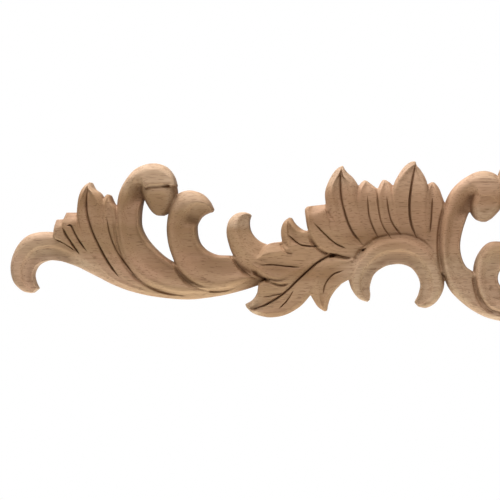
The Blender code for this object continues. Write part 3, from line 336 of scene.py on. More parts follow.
# Rungs from root to tip as (left x, left z, right x, right z, crest height, place of the valley
# across), then the widths of the left and right bevel near the root, the same beside the tip,
# where on the length they widen, and the depth of the hollow.
LOBES = {
    "fan leaf, lowest lobe": (
        (
            (-212.0, -7.0, -208.5, -4.5, 9.0, 0.5), (-217.4, -3.0, -213.4, 0.6, 9.8, 0.5),
            (-221.9, 1.0, -217.5, 4.6, 10.6, 0.5), (-226.1, 3.6, -221.2, 8.0, 11.0, 0.5),
            (-229.9, 5.8, -223.2, 10.6, 11.2, 0.5), (-230.3, 9.8, -223.8, 12.4, 10.8, 0.5),
            (-229.5, 14.6, -224.4, 14.8, 7.6, 0.5),
        ),
        (1.0, 1.0), (0.6, 0.6), LATE, 0.8,
    ),
    "fan leaf, second lobe": (
        (
            (-213.0, -7.0, -207.0, -5.5, 9.4, 0.55), (-217.2, -2.2, -210.6, -0.6, 10.2, 0.55),
            (-220.8, 2.8, -213.8, 4.6, 11.0, 0.55), (-224.0, 7.8, -216.8, 9.8, 11.4, 0.55),
            (-226.0, 12.6, -218.0, 13.8, 11.2, 0.5), (-224.8, 17.9, -217.6, 17.9, 7.6, 0.5),
        ),
        (1.0, 1.0), (0.6, 0.6), LATE, 1.0,
    ),
    "fan leaf, tall lobe": (
        (
            (-186.0, -20.2, -181.0, -18.2, 7.0, 0.5), (-195.5, -17.2, -187.5, -15.0, 8.4, 0.5),
            (-203.0, -13.2, -194.5, -12.4, 9.3, 0.5), (-208.6, -7.6, -198.0, -8.0, 10.0, 0.5),
            (-213.2, -1.0, -201.4, -1.4, 10.4, 0.58), (-216.8, 7.0, -204.6, 6.6, 10.8, 0.5),
            (-218.9, 15.0, -206.0, 15.0, 11.0, 0.38), (-218.6, 22.4, -206.0, 22.0, 11.2, 0.36),
            (-217.5, 27.6, -208.3, 26.8, 10.8, 0.35), (-215.6, 30.7, -211.1, 29.0, 9.4, 0.4),
            (-213.4, 32.4, -212.9, 32.3, 7.2, 0.5),
        ),
        (1.0, 1.0), (2.2, 3.6), LATE, 2.0,
    ),
    "fan leaf, inner lobe": (
        (
            (-183.0, -19.4, -178.0, -17.0, 7.0, 0.6), (-191.5, -16.6, -185.0, -14.0, 8.3, 0.7),
            (-198.0, -12.6, -191.0, -10.6, 9.1, 0.7), (-202.6, -5.0, -195.0, -5.4, 9.8, 0.75),
            (-205.8, 5.0, -198.0, 4.0, 10.2, 0.55), (-207.0, 14.0, -199.2, 13.0, 10.5, 0.4),
            (-207.0, 21.0, -199.8, 19.6, 10.6, 0.45), (-206.0, 25.1, -201.8, 22.2, 9.2, 0.5),
            (-204.8, 26.7, -203.6, 26.0, 7.4, 0.5),
        ),
        (1.0, 1.0), (1.6, 2.0), LATE, 1.4,
    ),
    "acanthus, upper lobe": (
        (
            (-99.0, -3.0, -98.0, 1.8, 9.6, 0.4), (-107.0, -7.8, -105.0, 2.0, 10.0, 0.36),
            (-114.2, -13.6, -111.5, 2.6, 10.4, 0.34), (-120.6, -15.8, -117.8, 3.7, 10.8, 0.42),
            (-126.8, -14.4, -123.0, 3.8, 11.2, 0.42), (-132.0, -11.4, -128.2, 2.6, 11.3, 0.45),
            (-135.4, -9.0, -132.6, -1.7, 10.8, 0.5), (-137.2, -7.4, -136.6, -6.4, 9.6, 0.5),
        ),
        (6.0, 0.6), (2.2, 5.0), EARLY, 1.4,
    ),
    "acanthus, curled lobe": (
        (
            (-99.0, 0.6, -98.6, 3.6, 8.8, 0.5), (-107.0, 0.2, -105.0, 6.9, 9.8, 0.4),
            (-113.6, -0.6, -109.2, 8.9, 10.6, 0.45), (-118.8, -0.8, -111.2, 9.4, 11.1, 0.5),
            (-121.4, 4.6, -112.6, 10.2, 11.3, 0.5), (-121.8, 9.4, -114.4, 11.6, 11.2, 0.5),
            (-120.5, 13.2, -115.8, 13.2, 10.0, 0.5), (-118.1, 15.4, -117.0, 15.3, 7.6, 0.5),
        ),
        (4.5, 1.0), (3.2, 2.0), EARLY, 1.6,
    ),
    "acanthus, main lobe": (
        (
            (-85.0, -1.0, -84.5, -6.0, 8.4, 0.5), (-91.5, -1.0, -89.5, -6.6, 8.4, 0.42),
            (-98.0, -0.6, -94.0, -7.4, 8.5, 0.30), (-104.6, -3.4, -99.6, -11.0, 8.9, 0.28),
            (-110.6, -7.2, -104.6, -16.4, 9.7, 0.28), (-117.0, -12.0, -108.4, -21.6, 10.4, 0.30),
            (-122.4, -14.2, -113.2, -26.9, 10.8, 0.38), (-127.6, -13.8, -119.8, -30.6, 10.8, 0.50),
            (-132.1, -15.8, -126.7, -31.8, 10.6, 0.62), (-133.2, -20.2, -131.9, -31.1, 10.0, 0.66),
            (-135.4, -23.5, -135.7, -29.5, 9.0, 0.75), (-138.9, -25.6, -138.3, -27.2, 7.0, 0.5),
        ),
        (0.4, 1.6), (2.6, 2.6), LATE, 2.0,
    ),
    "acanthus, lower lobe": (
        (
            (-88.0, -4.0, -84.5, -6.0, 9.4, 0.5), (-96.5, -2.6, -86.6, -10.0, 9.8, 0.55),
            (-103.4, -5.2, -90.0, -13.8, 10.1, 0.54), (-107.8, -11.0, -93.2, -15.8, 10.3, 0.56),
            (-109.0, -17.0, -94.8, -17.4, 10.4, 0.55), (-107.9, -20.9, -96.5, -19.2, 10.4, 0.53),
            (-106.6, -23.5, -98.6, -22.4, 10.2, 0.5), (-104.4, -26.8, -99.7, -25.4, 9.2, 0.5),
            (-101.4, -29.0, -100.3, -28.7, 7.0, 0.5),
        ),
        (4.5, 1.2), (3.0, 1.8), LATE, 1.6,
    ),
    "palm leaf, low lobe": (
        (
            (-84.0, -4.0, -83.5, -0.5, 8.6, 0.6), (-91.6, -3.3, -90.4, 2.2, 9.2, 0.65),
            (-97.2, -1.9, -95.4, 6.8, 9.9, 0.60), (-102.5, 0.2, -98.6, 11.2, 10.6, 0.52),
            (-106.3, 3.9, -98.8, 14.8, 11.1, 0.50), (-109.0, 9.0, -99.6, 17.4, 11.4, 0.5),
            (-110.2, 15.0, -100.2, 18.8, 11.2, 0.45), (-110.7, 19.0, -100.5, 20.6, 8.8, 0.45),
            (-109.6, 20.6, -100.8, 21.5, 7.2, 0.45),
        ),
        (1.2, 1.0), (1.6, 0.8), LATE, 1.6,
    ),
    "palm leaf, left lobe": (
        (
            (-88.0, -1.8, -77.0, 3.5, 9.6, 0.55), (-95.8, 2.6, -80.5, 8.0, 10.0, 0.50),
            (-101.4, 8.2, -83.0, 14.0, 10.5, 0.54), (-101.2, 15.0, -84.7, 20.0, 10.9, 0.54),
            (-100.8, 20.6, -85.2, 25.6, 11.2, 0.5), (-101.2, 26.6, -85.6, 30.2, 11.4, 0.49),
            (-100.0, 31.2, -87.8, 33.8, 11.0, 0.53), (-97.7, 35.6, -90.2, 36.0, 10.0, 0.57),
            (-95.3, 38.4, -91.6, 37.6, 8.8, 0.6), (-93.0, 39.7, -92.6, 39.5, 7.0, 0.5),
        ),
        (6.0, 1.0), (3.4, 3.4), EARLY, 2.2,
    ),
    "palm leaf, third lobe": (
        (
            (-79.0, 2.0, -69.8, 5.0, 9.2, 0.4), (-82.5, 9.0, -72.3, 10.0, 9.8, 0.43),
            (-85.0, 16.0, -74.4, 16.0, 10.3, 0.46), (-86.1, 22.0, -75.4, 22.0, 10.6, 0.48),
            (-86.0, 27.6, -76.2, 27.8, 10.2, 0.5), (-84.7, 31.1, -78.2, 30.0, 8.8, 0.5),
            (-82.9, 32.8, -81.6, 32.6, 7.0, 0.5),
        ),
        (1.0, 1.0), (2.2, 2.4), LATE, 1.5,
    ),
    "palm leaf, fourth lobe": (
        (
            (-70.6, 4.0, -63.5, 4.5, 9.4, 0.55), (-73.4, 9.5, -65.2, 10.0, 10.0, 0.58),
            (-75.3, 15.0, -66.8, 15.0, 10.5, 0.58), (-76.2, 21.0, -68.1, 21.0, 10.8, 0.52),
            (-76.8, 26.5, -68.8, 27.0, 10.5, 0.5), (-75.8, 30.4, -69.8, 30.7, 9.0, 0.5),
            (-74.2, 33.0, -72.6, 32.9, 7.2, 0.5),
        ),
        (1.0, 1.0), (2.0, 2.6), LATE, 1.5,
    ),
    "palm leaf, right lobe": (
        (
            (-65.5, 3.0, -52.5, 1.0, 9.6, 0.5), (-67.0, 9.0, -53.2, 7.5, 10.1, 0.53),
            (-68.4, 15.0, -53.6, 14.0, 10.6, 0.5), (-69.3, 21.0, -53.5, 21.0, 11.0, 0.49),
            (-69.6, 26.5, -53.3, 27.0, 11.3, 0.51), (-68.9, 31.0, -53.5, 31.2, 11.4, 0.56),
            (-67.0, 35.0, -54.9, 34.8, 11.0, 0.63), (-64.2, 38.9, -56.7, 37.8, 10.0, 0.72),
            (-61.3, 41.1, -58.2, 39.5, 8.6, 0.78), (-59.1, 41.6, -58.7, 41.2, 7.0, 0.5),
        ),
        (1.0, 1.0), (3.4, 2.8), LATE, 2.2,
    ),
    "palm leaf, last lobe": (
        (
            (-52.0, -9.0, -42.0, -13.0, 9.2, 0.5), (-54.0, -2.0, -43.0, -5.0, 9.4, 0.5),
            (-55.2, 6.0, -43.6, 3.0, 9.8, 0.45),
            (-54.9, 13.0, -43.6, 11.0, 10.2, 0.35), (-54.6, 20.0, -44.4, 19.0, 10.5, 0.35),
            (-54.3, 26.0, -46.5, 25.0, 10.2, 0.4), (-53.5, 30.2, -47.9, 28.9, 9.0, 0.45),
            (-51.4, 31.8, -50.0, 31.7, 7.0, 0.5),
        ),
        (1.0, 1.0), (1.8, 2.6), LATE, 1.6,
    ),
    "palmette, outer lobe": (
        (
            (-8.0, 2.0, -3.0, 3.0, 9.0, 0.5), (-13.0, 12.0, -6.0, 12.0, 9.6, 0.5),
            (-17.5, 21.0, -8.5, 21.0, 10.0, 0.5), (-20.0, 28.5, -10.2, 29.0, 10.2, 0.5),
            (-20.3, 34.5, -11.0, 36.0, 10.2, 0.5), (-19.1, 38.2, -12.0, 39.3, 9.6, 0.5),
            (-17.3, 42.0, -13.7, 42.2, 8.4, 0.5), (-15.4, 44.4, -14.9, 44.3, 7.0, 0.5),
        ),
        (1.0, 1.0), (2.2, 2.2), LATE, 1.4,
    ),
    "palmette, middle lobe": (
        (
            (-6.0, 5.0, -1.0, 5.0, 9.4, 0.5), (-8.6, 15.0, -2.6, 15.0, 10.0, 0.5),
            (-10.8, 24.0, -3.8, 24.0, 10.4, 0.5), (-11.8, 32.0, -4.6, 32.0, 10.6, 0.5),
            (-11.6, 38.3, -5.0, 39.0, 10.4, 0.5), (-10.4, 42.5, -6.0, 42.9, 9.0, 0.5),
            (-8.4, 46.0, -7.6, 46.0, 7.2, 0.5),
        ),
        (1.0, 1.0), (2.0, 2.0), LATE, 1.4,
    ),
    "palmette, centre lobe": (
        (
            (-4.6, 2.0, 4.6, 2.0, 9.8, 0.5), (-5.4, 14.0, 5.4, 14.0, 10.4, 0.5),
            (-6.4, 26.0, 6.4, 26.0, 10.9, 0.5), (-6.8, 35.0, 6.8, 35.0, 11.2, 0.5),
            (-5.6, 41.8, 5.6, 41.8, 10.6, 0.5), (-3.0, 47.0, 3.0, 47.0, 9.0, 0.5),
            (-0.3, 50.2, 0.3, 50.2, 7.0, 0.5),
        ),
        (1.0, 1.0), (2.6, 2.6), LATE, 1.8,
    ),
}


def lobe_section(roots, tips, widens, gouge, valley, part, width):
    """Cross-section of a leaf lobe: a bevel, a hollow down to the valley, and up again."""
    grown = smooth((part - widens[0]) / (widens[1] - widens[0]))
    left, right = (root + (tip - root) * grown for root, tip in zip(roots, tips))
    left = min(left / width, BEVEL_SHARE * valley)
    right = 1 - min(right / width, BEVEL_SHARE * (1 - valley))
    strength = min(1.0, width / FULL_WIDTH) * (ROOT_DEPTH + (1 - ROOT_DEPTH) * grown)
    points = [(0.0, strength * BEVEL_DEPTH)]
    for start, end in ((left, valley), (right, valley)):
        hollow = [
            (start + (end - start) * step / STEPS_ACROSS,
             strength * gouge * (1 - (1 - step / STEPS_ACROSS) ** 2))
            for step in range(STEPS_ACROSS + 1)
        ]
        points += hollow if start is left else hollow[-2::-1]
    points.append((1.0, strength * BEVEL_DEPTH))
    return points


for name, (rungs, *cut) in LOBES.items():
    def section(place, width, values, cut=cut, last=len(rungs) - 1):
        return lobe_section(*cut, values[5], place / last, width)
    members.objects.link(ladder(name, rungs, section, behind))
    behind += BEHIND_STEP


# One carved body
# The scrolls and leaves run into each other: they were never separate pieces. They are joined
# here into the one solid that stands in place of the frame's plainer one.
wood = members.objects["rail"]
members.objects.unlink(wood)
bpy.context.scene.collection.objects.link(wood)
wood.name = "carved_wood"


def applied(base):
    """Give the base the mesh that its modifiers make of it."""
    depsgraph = bpy.context.evaluated_depsgraph_get()
    data = bpy.data.meshes.new_from_object(base.evaluated_get(depsgraph), depsgraph=depsgraph)
    base.modifiers.clear()
    base.data = data


def joined(base, collection, operation):
    """Apply a Boolean of the base with every object of a collection."""
    cut = base.modifiers.new(operation.lower(), "BOOLEAN")
    cut.operation = operation
    cut.operand_type = "COLLECTION"
    cut.collection = collection
    cut.solver = "MANIFOLD"
    applied(base)


joined(wood, members, "UNION")


# Junctions
# Where one member lies over another the carver sets it off with a V tool along its edge, before
# the wood is rubbed down.
CUT_STEPS = 12              # lengths between two points of a cut
CUT_RUN_OUT = 6             # at each end a cut runs out over one in this many parts of its length
CUT_CLEARANCE = 1.0         # how far a cutter stands above the wood
CUT_NEAR = 0.05             # the way a cut runs is taken between points this far on either side
BACKWARDS = Vector((0, 1, 0))
FRONT_OF_BOARD = -2 * DRAWN_BOARD   # well in front of the wood, where the search for it starts
EDGE_HEIGHT = -8.0          # taken for the wood's front where a cut starts just off its edge

# The path of each as (x, z), and its width and depth at the widest place.
JUNCTIONS = {
    "first scroll, outer edge": (
        (
            (-201.0, 21.0), (-200.9, 14.0), (-200.2, 6.0), (-198.2, -2.3), (-194.3, -9.4),
            (-188.8, -14.8), (-181.6, -18.7), (-173.6, -21.0), (-163.5, -21.8),
        ),
        2.4, 1.4,
    ),
    "first bulb, under the cap": (
        ((-187.4, 28.9), (-183.0, 29.5), (-178.0, 29.8), (-172.2, 31.3)), 2.0, 0.9,
    ),
    "second scroll, outer edge": (
        (
            (-175.4, -1.6), (-171.3, -10.1), (-165.6, -15.9), (-157.6, -19.3), (-149.0, -19.4),
            (-141.0, -17.2),
        ),
        1.6, 1.1,
    ),
    "hooked leaf, lower edge": (
        ((-146.6, -0.6), (-144.9, -3.6), (-141.9, -8.1), (-137.4, -11.7), (-132.0, -14.5)), 1.8, 1.4,
    ),
    "acanthus, upper lobe's lower edge": (
        ((-137.2, -8.2), (-132.4, -12.0), (-127.0, -15.1), (-121.5, -16.6), (-117.0, -15.2)), 2.0, 1.5,
    ),
    "acanthus, curled lobe's edge": (
        ((-122.0, 4.2), (-121.0, 1.2), (-118.6, -1.3), (-115.4, -1.7)), 1.6, 1.1,
    ),
    "palm leaf, lower edge": (
        (
            (-109.5, 9.2), (-107.0, 3.4), (-102.8, -0.6), (-97.4, -2.6), (-91.6, -3.8), (-86.2, -4.2),
        ),
        1.9, 1.5,
    ),
    "palm leaf, left lobe's edge": (((-100.0, 18.6), (-98.6, 15.6), (-95.8, 12.6)), 1.2, 0.6),
    "crescent, outer edge": (
        (
            (-89.6, -9.2), (-86.9, -3.5), (-82.3, 1.9), (-76.2, 5.6), (-69.5, 7.1), (-62.9, 7.0),
            (-57.1, 4.9), (-52.1, 1.1), (-48.8, -3.7),
        ),
        1.6, 0.9,
    ),
    "large scroll, outer edge": (
        (
            (-45.2, 23.6), (-46.7, 16.5), (-47.9, 9.2), (-48.2, 1.6), (-47.7, -5.2), (-45.6, -14.6),
        ),
        2.2, 1.7,
    ),
    "inner scroll, outer edge": (
        ((-32.4, -9.0), (-31.9, -15.0), (-30.1, -21.7), (-26.0, -27.8), (-19.0, -30.8)), 1.5, 1.3,
    ),
}


def vein_cutter(name, path, width, depth, surface):
    """Blade that a V tool would leave, deepest half way, following the wood's surface."""
    mesh = bmesh.new()
    rows = []
    top = EDGE_HEIGHT
    count = (len(path) - 1) * CUT_STEPS
    for step in range(count + 1):
        place = step / CUT_STEPS
        x, z = along(path, place)
        ahead = Vector(along(path, min(place + CUT_NEAR, len(path) - 1)))
        behind = Vector(along(path, max(place - CUT_NEAR, 0.0)))
        side = (ahead - behind).normalized().orthogonal()
        start = Vector((x * SIZE, FRONT_OF_BOARD * DEPTH, z * SIZE))
        hit = surface.ray_cast(start, BACKWARDS)[0]
        top = hit.y / DEPTH if hit else top
        bite = depth * min(1.0, CUT_RUN_OUT * min(step, count - step) / count)
        spread = 0.5 * width / depth * (bite + CUT_CLEARANCE)
        rows.append([
            mesh.verts.new((x - side.x * spread, top - CUT_CLEARANCE, z - side.y * spread)),
            mesh.verts.new((x, top + bite, z)),
            mesh.verts.new((x + side.x * spread, top - CUT_CLEARANCE, z + side.y * spread)),
        ])
    for row, after in zip(rows, rows[1:]):
        for i in range(3):
            j = (i + 1) % 3
            mesh.faces.new((row[i], row[j], after[j], after[i]))
    mesh.faces.new(rows[0])
    mesh.faces.new(rows[-1])
    bmesh.ops.triangulate(mesh, faces=mesh.faces)
    bmesh.ops.recalc_face_normals(mesh, faces=mesh.faces)
    return finished(mesh, name)


bpy.context.view_layer.update()
surface = BVHTree.FromObject(wood, bpy.context.evaluated_depsgraph_get())
cuts = bpy.data.collections.new("junctions")
for name, (path, width, depth) in JUNCTIONS.items():
    cuts.objects.link(vein_cutter(name, path, width, depth, surface))
joined(wood, cuts, "DIFFERENCE")


# Rubbed down
# Gouge marks and arrises are rubbed down with abrasive before the veins are cut, so that the
# members blend into each other and only the veins stay crisp.
MM = 0.001
SKIN = 0.3                  # fineness of the skin over all the members
RUBBED = 8                  # passes of smoothing
RUB = 0.5                   # how far a pass moves each point towards the middle of its neighbours

skin = wood.modifiers.new("one skin", "REMESH")
skin.mode = "VOXEL"
skin.voxel_size = SKIN * MM
rub = wood.modifiers.new("rubbed down", "SMOOTH")
rub.iterations = RUBBED
rub.factor = RUB
applied(wood)


# Veins
# Lines cut into the finished leaves with a V tool, deepest half way and running out at both ends. The
# friction of the tool has browned them; the wood's material paints that browning together with painted
# shade.
SHALLOWER = 0.60            # the rubbed wood needs this part of the depths below

# The path of each as (x, z), and its width and depth at the widest place.
VEINS = {
    "fan leaf, rail line": (((-229.4, 5.2), (-224.8, 3.0), (-219.0, -0.8)), 1.1, 1.2),
    "fan leaf, first gap": (
        ((-225.6, 10.8), (-223.6, 6.6), (-220.6, 2.2), (-217.4, -2.2)), 1.3, 2.2,
    ),
    "fan leaf, second gap": (
        ((-223.6, 11.4), (-221.6, 11.6), (-219.8, 8.0), (-217.0, 3.4), (-213.6, -1.0)), 1.2, 2.0,
    ),
    "fan leaf, main vein": (
        (
            (-213.8, 30.2), (-214.3, 20.0), (-212.2, 10.5), (-207.6, 0.5), (-202.8, -7.6),
            (-198.6, -13.0),
        ),
        1.5, 2.6,
    ),
    "fan leaf, inner vein": (
        ((-204.6, 16.0), (-203.2, 8.0), (-200.6, 1.0), (-196.6, -5.5), (-191.4, -11.6)), 1.1, 1.6,
    ),
    "acanthus, main vein": (
        (
            (-136.0, -28.4), (-128.0, -25.3), (-120.0, -20.0), (-112.0, -12.3), (-104.0, -5.4),
            (-97.0, -2.4), (-90.0, -3.6),
        ),
        1.4, 2.4,
    ),
    "acanthus, upper vein": (
        ((-132.0, -7.2), (-125.0, -7.0), (-119.0, -7.7), (-112.5, -8.2)), 1.1, 1.6,
    ),
    "acanthus, curled vein": (((-118.8, 7.6), (-114.0, 3.2), (-109.5, 1.9), (-103.0, 1.8)), 1.2, 1.8),
    "acanthus, tip vein": (((-130.6, -22.3), (-125.5, -21.4), (-120.4, -20.2)), 1.0, 1.2),
    "acanthus, belly vein": (((-122.8, -27.8), (-119.0, -24.0), (-115.6, -18.8)), 1.0, 1.2),
    "acanthus, lower vein": (((-101.9, -20.6), (-100.9, -16.0), (-97.4, -11.6), (-92.0, -9.4)), 1.1, 1.5),
    "palm leaf, low vein": (((-106.6, 13.0), (-101.0, 7.2), (-96.0, 2.9), (-91.0, 0.7)), 1.2, 1.8),
    "palm leaf, left vein": (
        ((-93.9, 37.4), (-93.7, 27.0), (-92.3, 19.0), (-88.9, 9.6), (-83.6, 2.4)), 1.4, 2.4,
    ),
    "palm leaf, third vein": (((-81.2, 25.6), (-80.6, 17.0), (-78.9, 11.0), (-76.2, 5.6)), 1.1, 1.6),
    "palm leaf, gap": (((-76.7, 27.2), (-76.0, 19.0), (-74.2, 11.6), (-69.6, 4.6)), 1.1, 1.2),
    "palm leaf, fourth vein": (((-72.3, 25.4), (-71.3, 17.6), (-69.5, 12.2), (-65.4, 6.4)), 1.1, 1.6),
    "palm leaf, right vein": (
        ((-58.7, 40.4), (-60.6, 31.0), (-61.7, 22.0), (-61.1, 13.0), (-58.2, 4.8)), 1.4, 2.4,
    ),
    "palm leaf, last vein": (((-51.0, 24.6), (-51.5, 16.0), (-52.3, 7.6)), 1.1, 1.6),
    "palmette, outer vein": (((-15.4, 39.6), (-15.0, 27.0), (-11.6, 15.0)), 1.1, 1.6),
    "palmette, middle vein": (((-8.2, 41.6), (-7.8, 28.0), (-6.0, 16.0)), 1.1, 1.6),
    "palmette, centre vein": (((0.0, 47.0), (0.0, 30.0), (0.0, 15.0)), 1.4, 2.0),
}

bpy.context.view_layer.update()
surface = BVHTree.FromObject(wood, bpy.context.evaluated_depsgraph_get())
veins = bpy.data.collections.new("veins")
for name, (path, width, depth) in VEINS.items():
    veins.objects.link(vein_cutter(name, path, width, depth * SHALLOWER, surface))
joined(wood, veins, "DIFFERENCE")
for thing in [*members.objects, *cuts.objects, *veins.objects]:
    bpy.data.objects.remove(thing)


# Hand finish
# Work by hand leaves the faces faintly uneven, within the board's size. The back is planed flat.
# The right half is the mirror image of the left.
TRIANGLES = 95000           # of the half, before its back is planed
SNAP = 0.05                 # a corner nearer than this to a cut is moved onto it
ON_PLANE = 0.001            # and one nearer than this lies on it
SEAM = 0.02                 # corners of the two halves nearer than this are one
UNEVEN = 0.09               # how far the rubbed faces stray from true
UNEVEN_SPAN = 7.0           # and over what length
TRUE_EDGE = 1.0             # from this far off the back and the middle on
SHARP = math.radians(60)    # a steeper edge than this stays crisp


def moved_onto(mesh, axis):
    """Corners next to the plane through the origin square to an axis, moved onto it."""
    near = {vert for vert in mesh.verts if abs(vert.co[axis]) < SNAP * MM}
    for vert in near:
        vert.co[axis] = 0
    return near


def cut_flat(mesh, axis):
    """Cut away what lies beyond the plane through the origin square to an axis (1 is Y)."""
    moved_onto(mesh, axis)
    bmesh.ops.bisect_plane(
        mesh, geom=mesh.verts[:] + mesh.edges[:] + mesh.faces[:], dist=ON_PLANE * MM,
        plane_co=(0, 0, 0), plane_no=[int(i == axis) for i in range(3)], clear_outer=True,
    )
    near = moved_onto(mesh, axis)
    return [edge for edge in mesh.edges if edge.is_boundary and near.issuperset(edge.verts)]


def planed(base):
    """Plane the back flat and close it, and leave the half open at the axis of symmetry."""
    mesh = bmesh.new()
    mesh.from_mesh(base.data)
    rim = cut_flat(mesh, 1)
    bmesh.ops.triangle_fill(mesh, use_beauty=True, use_dissolve=False, edges=rim)
    cut_flat(mesh, 0)
    bmesh.ops.remove_doubles(mesh, verts=mesh.verts, dist=SNAP * MM)
    bmesh.ops.triangulate(mesh, faces=mesh.faces)
    bmesh.ops.recalc_face_normals(mesh, faces=mesh.faces)
    mesh.to_mesh(base.data)
    mesh.free()


wood.data.calc_loop_triangles()
fewer = wood.modifiers.new("fewer facets", "DECIMATE")
fewer.ratio = TRIANGLES / len(wood.data.loop_triangles)
applied(wood)
planed(wood)
mesh = bmesh.new()
mesh.from_mesh(wood.data)
for vert in mesh.verts:
    sway = noise.noise(vert.co / (UNEVEN_SPAN * MM))
    off_back, off_middle = (-place / (TRUE_EDGE * MM) for place in (vert.co.y, vert.co.x))
    inside = min(1.0, off_back) * min(1.0, off_middle)
    vert.co += vert.normal * (sway - 0.5) * UNEVEN * MM * inside
    vert.co = [min(max(place, low), high) for place, low, high in zip(vert.co, lowest, highest)]
mesh.to_mesh(wood.data)
mesh.free()
mirror = wood.modifiers.new("right half", "MIRROR")
mirror.use_axis = (True, False, False)
mirror.merge_threshold = SEAM * MM
applied(wood)
for face in wood.data.polygons:
    face.use_smooth = True
wood.data.set_sharp_from_angle(angle=SHARP)

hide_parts(NODE)
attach(wood, "root")


# Raw wood
# Unsealed hardwood, matt and dry: tan with redder, paler, pinkish and olive zones, fine lines along the
# grain and short dark pores; the paler and darker zones are partly painted highlight and painted shade.
# The crevices carry the tool's browning with painted shade, and the gouged hollows painted shade.
TAN = (0.412, 0.252, 0.138, 1.0)    # the wood, and then what varies it
REDDISH = (0.285, 0.156, 0.072, 1.0)
UMBER = (0.205, 0.102, 0.038, 1.0)
PALE = (0.520, 0.368, 0.248, 1.0)
CREAM = (0.580, 0.460, 0.330, 1.0)
PINK = (0.500, 0.298, 0.190, 1.0)
OLIVE = (0.425, 0.300, 0.172, 1.0)
STREAK = (0.300, 0.175, 0.095, 1.0)
PORE = (0.170, 0.092, 0.048, 1.0)
CREVICE_BURN_AND_SHADE = (0.150, 0.078, 0.036, 1.0)
WHITE = (1.0, 1.0, 1.0, 1.0)
PAINTED_SHADE = (0.62, 0.55, 0.48, 1.0)     # painted shade that darkens the wood in its gouged hollows

# Zones of colour, partly the board's own and partly painted highlight and painted shade: the share in the
# middle of a zone, then the places in millimetres along the board, and up across it, between which it
# fades in.
# Paler zones: partly the board's own colour, partly painted highlight on the upper rims, caps and lower
# edges.
PALE_ZONES = (
    (0.8, ((-98.0, -84.0),), ((6.0, -8.0),)),                       # palmette and large scroll
    (1.0, ((-178.0, -212.0),), ((2.0, -14.0),)),                    # rail
    (1.0, ((-153.0, -147.0), (-128.0, -134.0)), ((10.0, 14.0),)),   # hooked leaf's tip
    (1.0, ((-153.0, -147.0), (-128.0, -134.0)), ((-18.0, -22.0),)),     # acanthus tip
    (0.7, ((-218.0, -236.0),), ()),                                 # hook
    (0.7, (), ((27.0, 34.0),)),                                     # along the top
    (0.5, ((-177.0, -171.0), (-146.0, -152.0)), ((18.0, 24.0),)),   # second scroll's cap
    (0.7, ((-38.0, -30.0),), ((10.0, 14.0), (25.0, 20.0))),         # below the large bulb
)
# Creamier zones along lower edges: partly the board's own colour, partly painted light from below.
CREAM_ZONES = (
    (0.7, ((-240.0, -230.0), (-203.0, -216.0)), ((4.0, -8.0),)),    # under the fan leaf
    (0.7, ((-62.0, -44.0),), ((-22.0, -31.0),)),                    # large scroll's lower edge
)
# Darker zones over the first scroll and the palm leaf: partly the board's own colour, partly painted
# shade.
UMBER_ZONES = (
    (0.6, ((-206.0, -196.0), (-166.0, -176.0)), ((2.0, 9.0), (29.0, 23.0))),    # first scroll
    (0.6, ((-94.0, -84.0), (-46.0, -54.0)), ((2.0, 9.0), (29.0, 23.0))),        # palm leaf
)
HEART_ZONES = (
    (1.0, (), ((-16.0, -10.0), (33.0, 24.0))),                      # reddish middle of the board
)
LESS_RED_ZONES = (
    (1.0, ((-154.0, -144.0), (-84.0, -98.0)), ((-8.0, -3.0), (14.0, 8.0))),     # acanthus leaf
    (0.7, ((-98.0, -84.0),), ((8.0, 2.0),)),                        # crescent and rightwards
)
LEAST_RED_ZONES = (
    (1.0, ((-46.0, -38.0),), ((22.0, 14.0),)),                      # inner scroll and palmette
)
LOWER_RED_ZONES = (
    (0.8, ((-90.0, -110.0),), ((-25.0, -30.0),)),                   # acanthus leaf's lower edge
)
RED_LEAST = 0.50                    # how reddish the heart is at the least; the figure adds to it

PER_MM = 1000.0
FIGURE = (0.012, 0.060, 0.060)      # how fast each pattern changes, per millimetre along X, Y, Z
STREAKS = (0.012, 0.800, 0.800)
LINES = (0.025, 2.400, 2.400)
PORES = (0.200, 2.300, 2.300)
WAVES = (0.012, 0.060, 0.060)
WAVER = 3.0                         # how far the streaks wander, in millimetres
APART = (9.0, 0.0, 0.0)             # sets the pink figure off from the olive one
OPEN_PORES = (0.60, 0.68)           # the pores are the peaks of their pattern
PORE_SHARE = 0.60                   # how much of their colour the pores show
HOLLOW_REACH = 0.009                # how near the walls of a gouged hollow stand, in metres
HOLLOWED = (0.05, 0.60)             # how enclosed a place is where the painted shade sets in and is full
CREVICE_REACH = 0.0022              # the same for a crevice, and how strongly it is darkened by the tool's browning and painted shade
CREVICED = (0.30, 0.90)
BURN_AND_SHADE = 0.75
DRY = 0.62                          # roughness of the wood, and what its lines and pores add
LINES_ADD = 0.16
PORES_ADD = 0.10
LINES_RISE = 0.5                    # heights of the grain's parts, beside each other
STREAKS_RISE = 0.5
PORES_SINK = 0.8
RELIEF = 0.00006                    # what a height of 1 is, in metres
RELIEF_STRENGTH = 0.35
GLOSS = 0.3


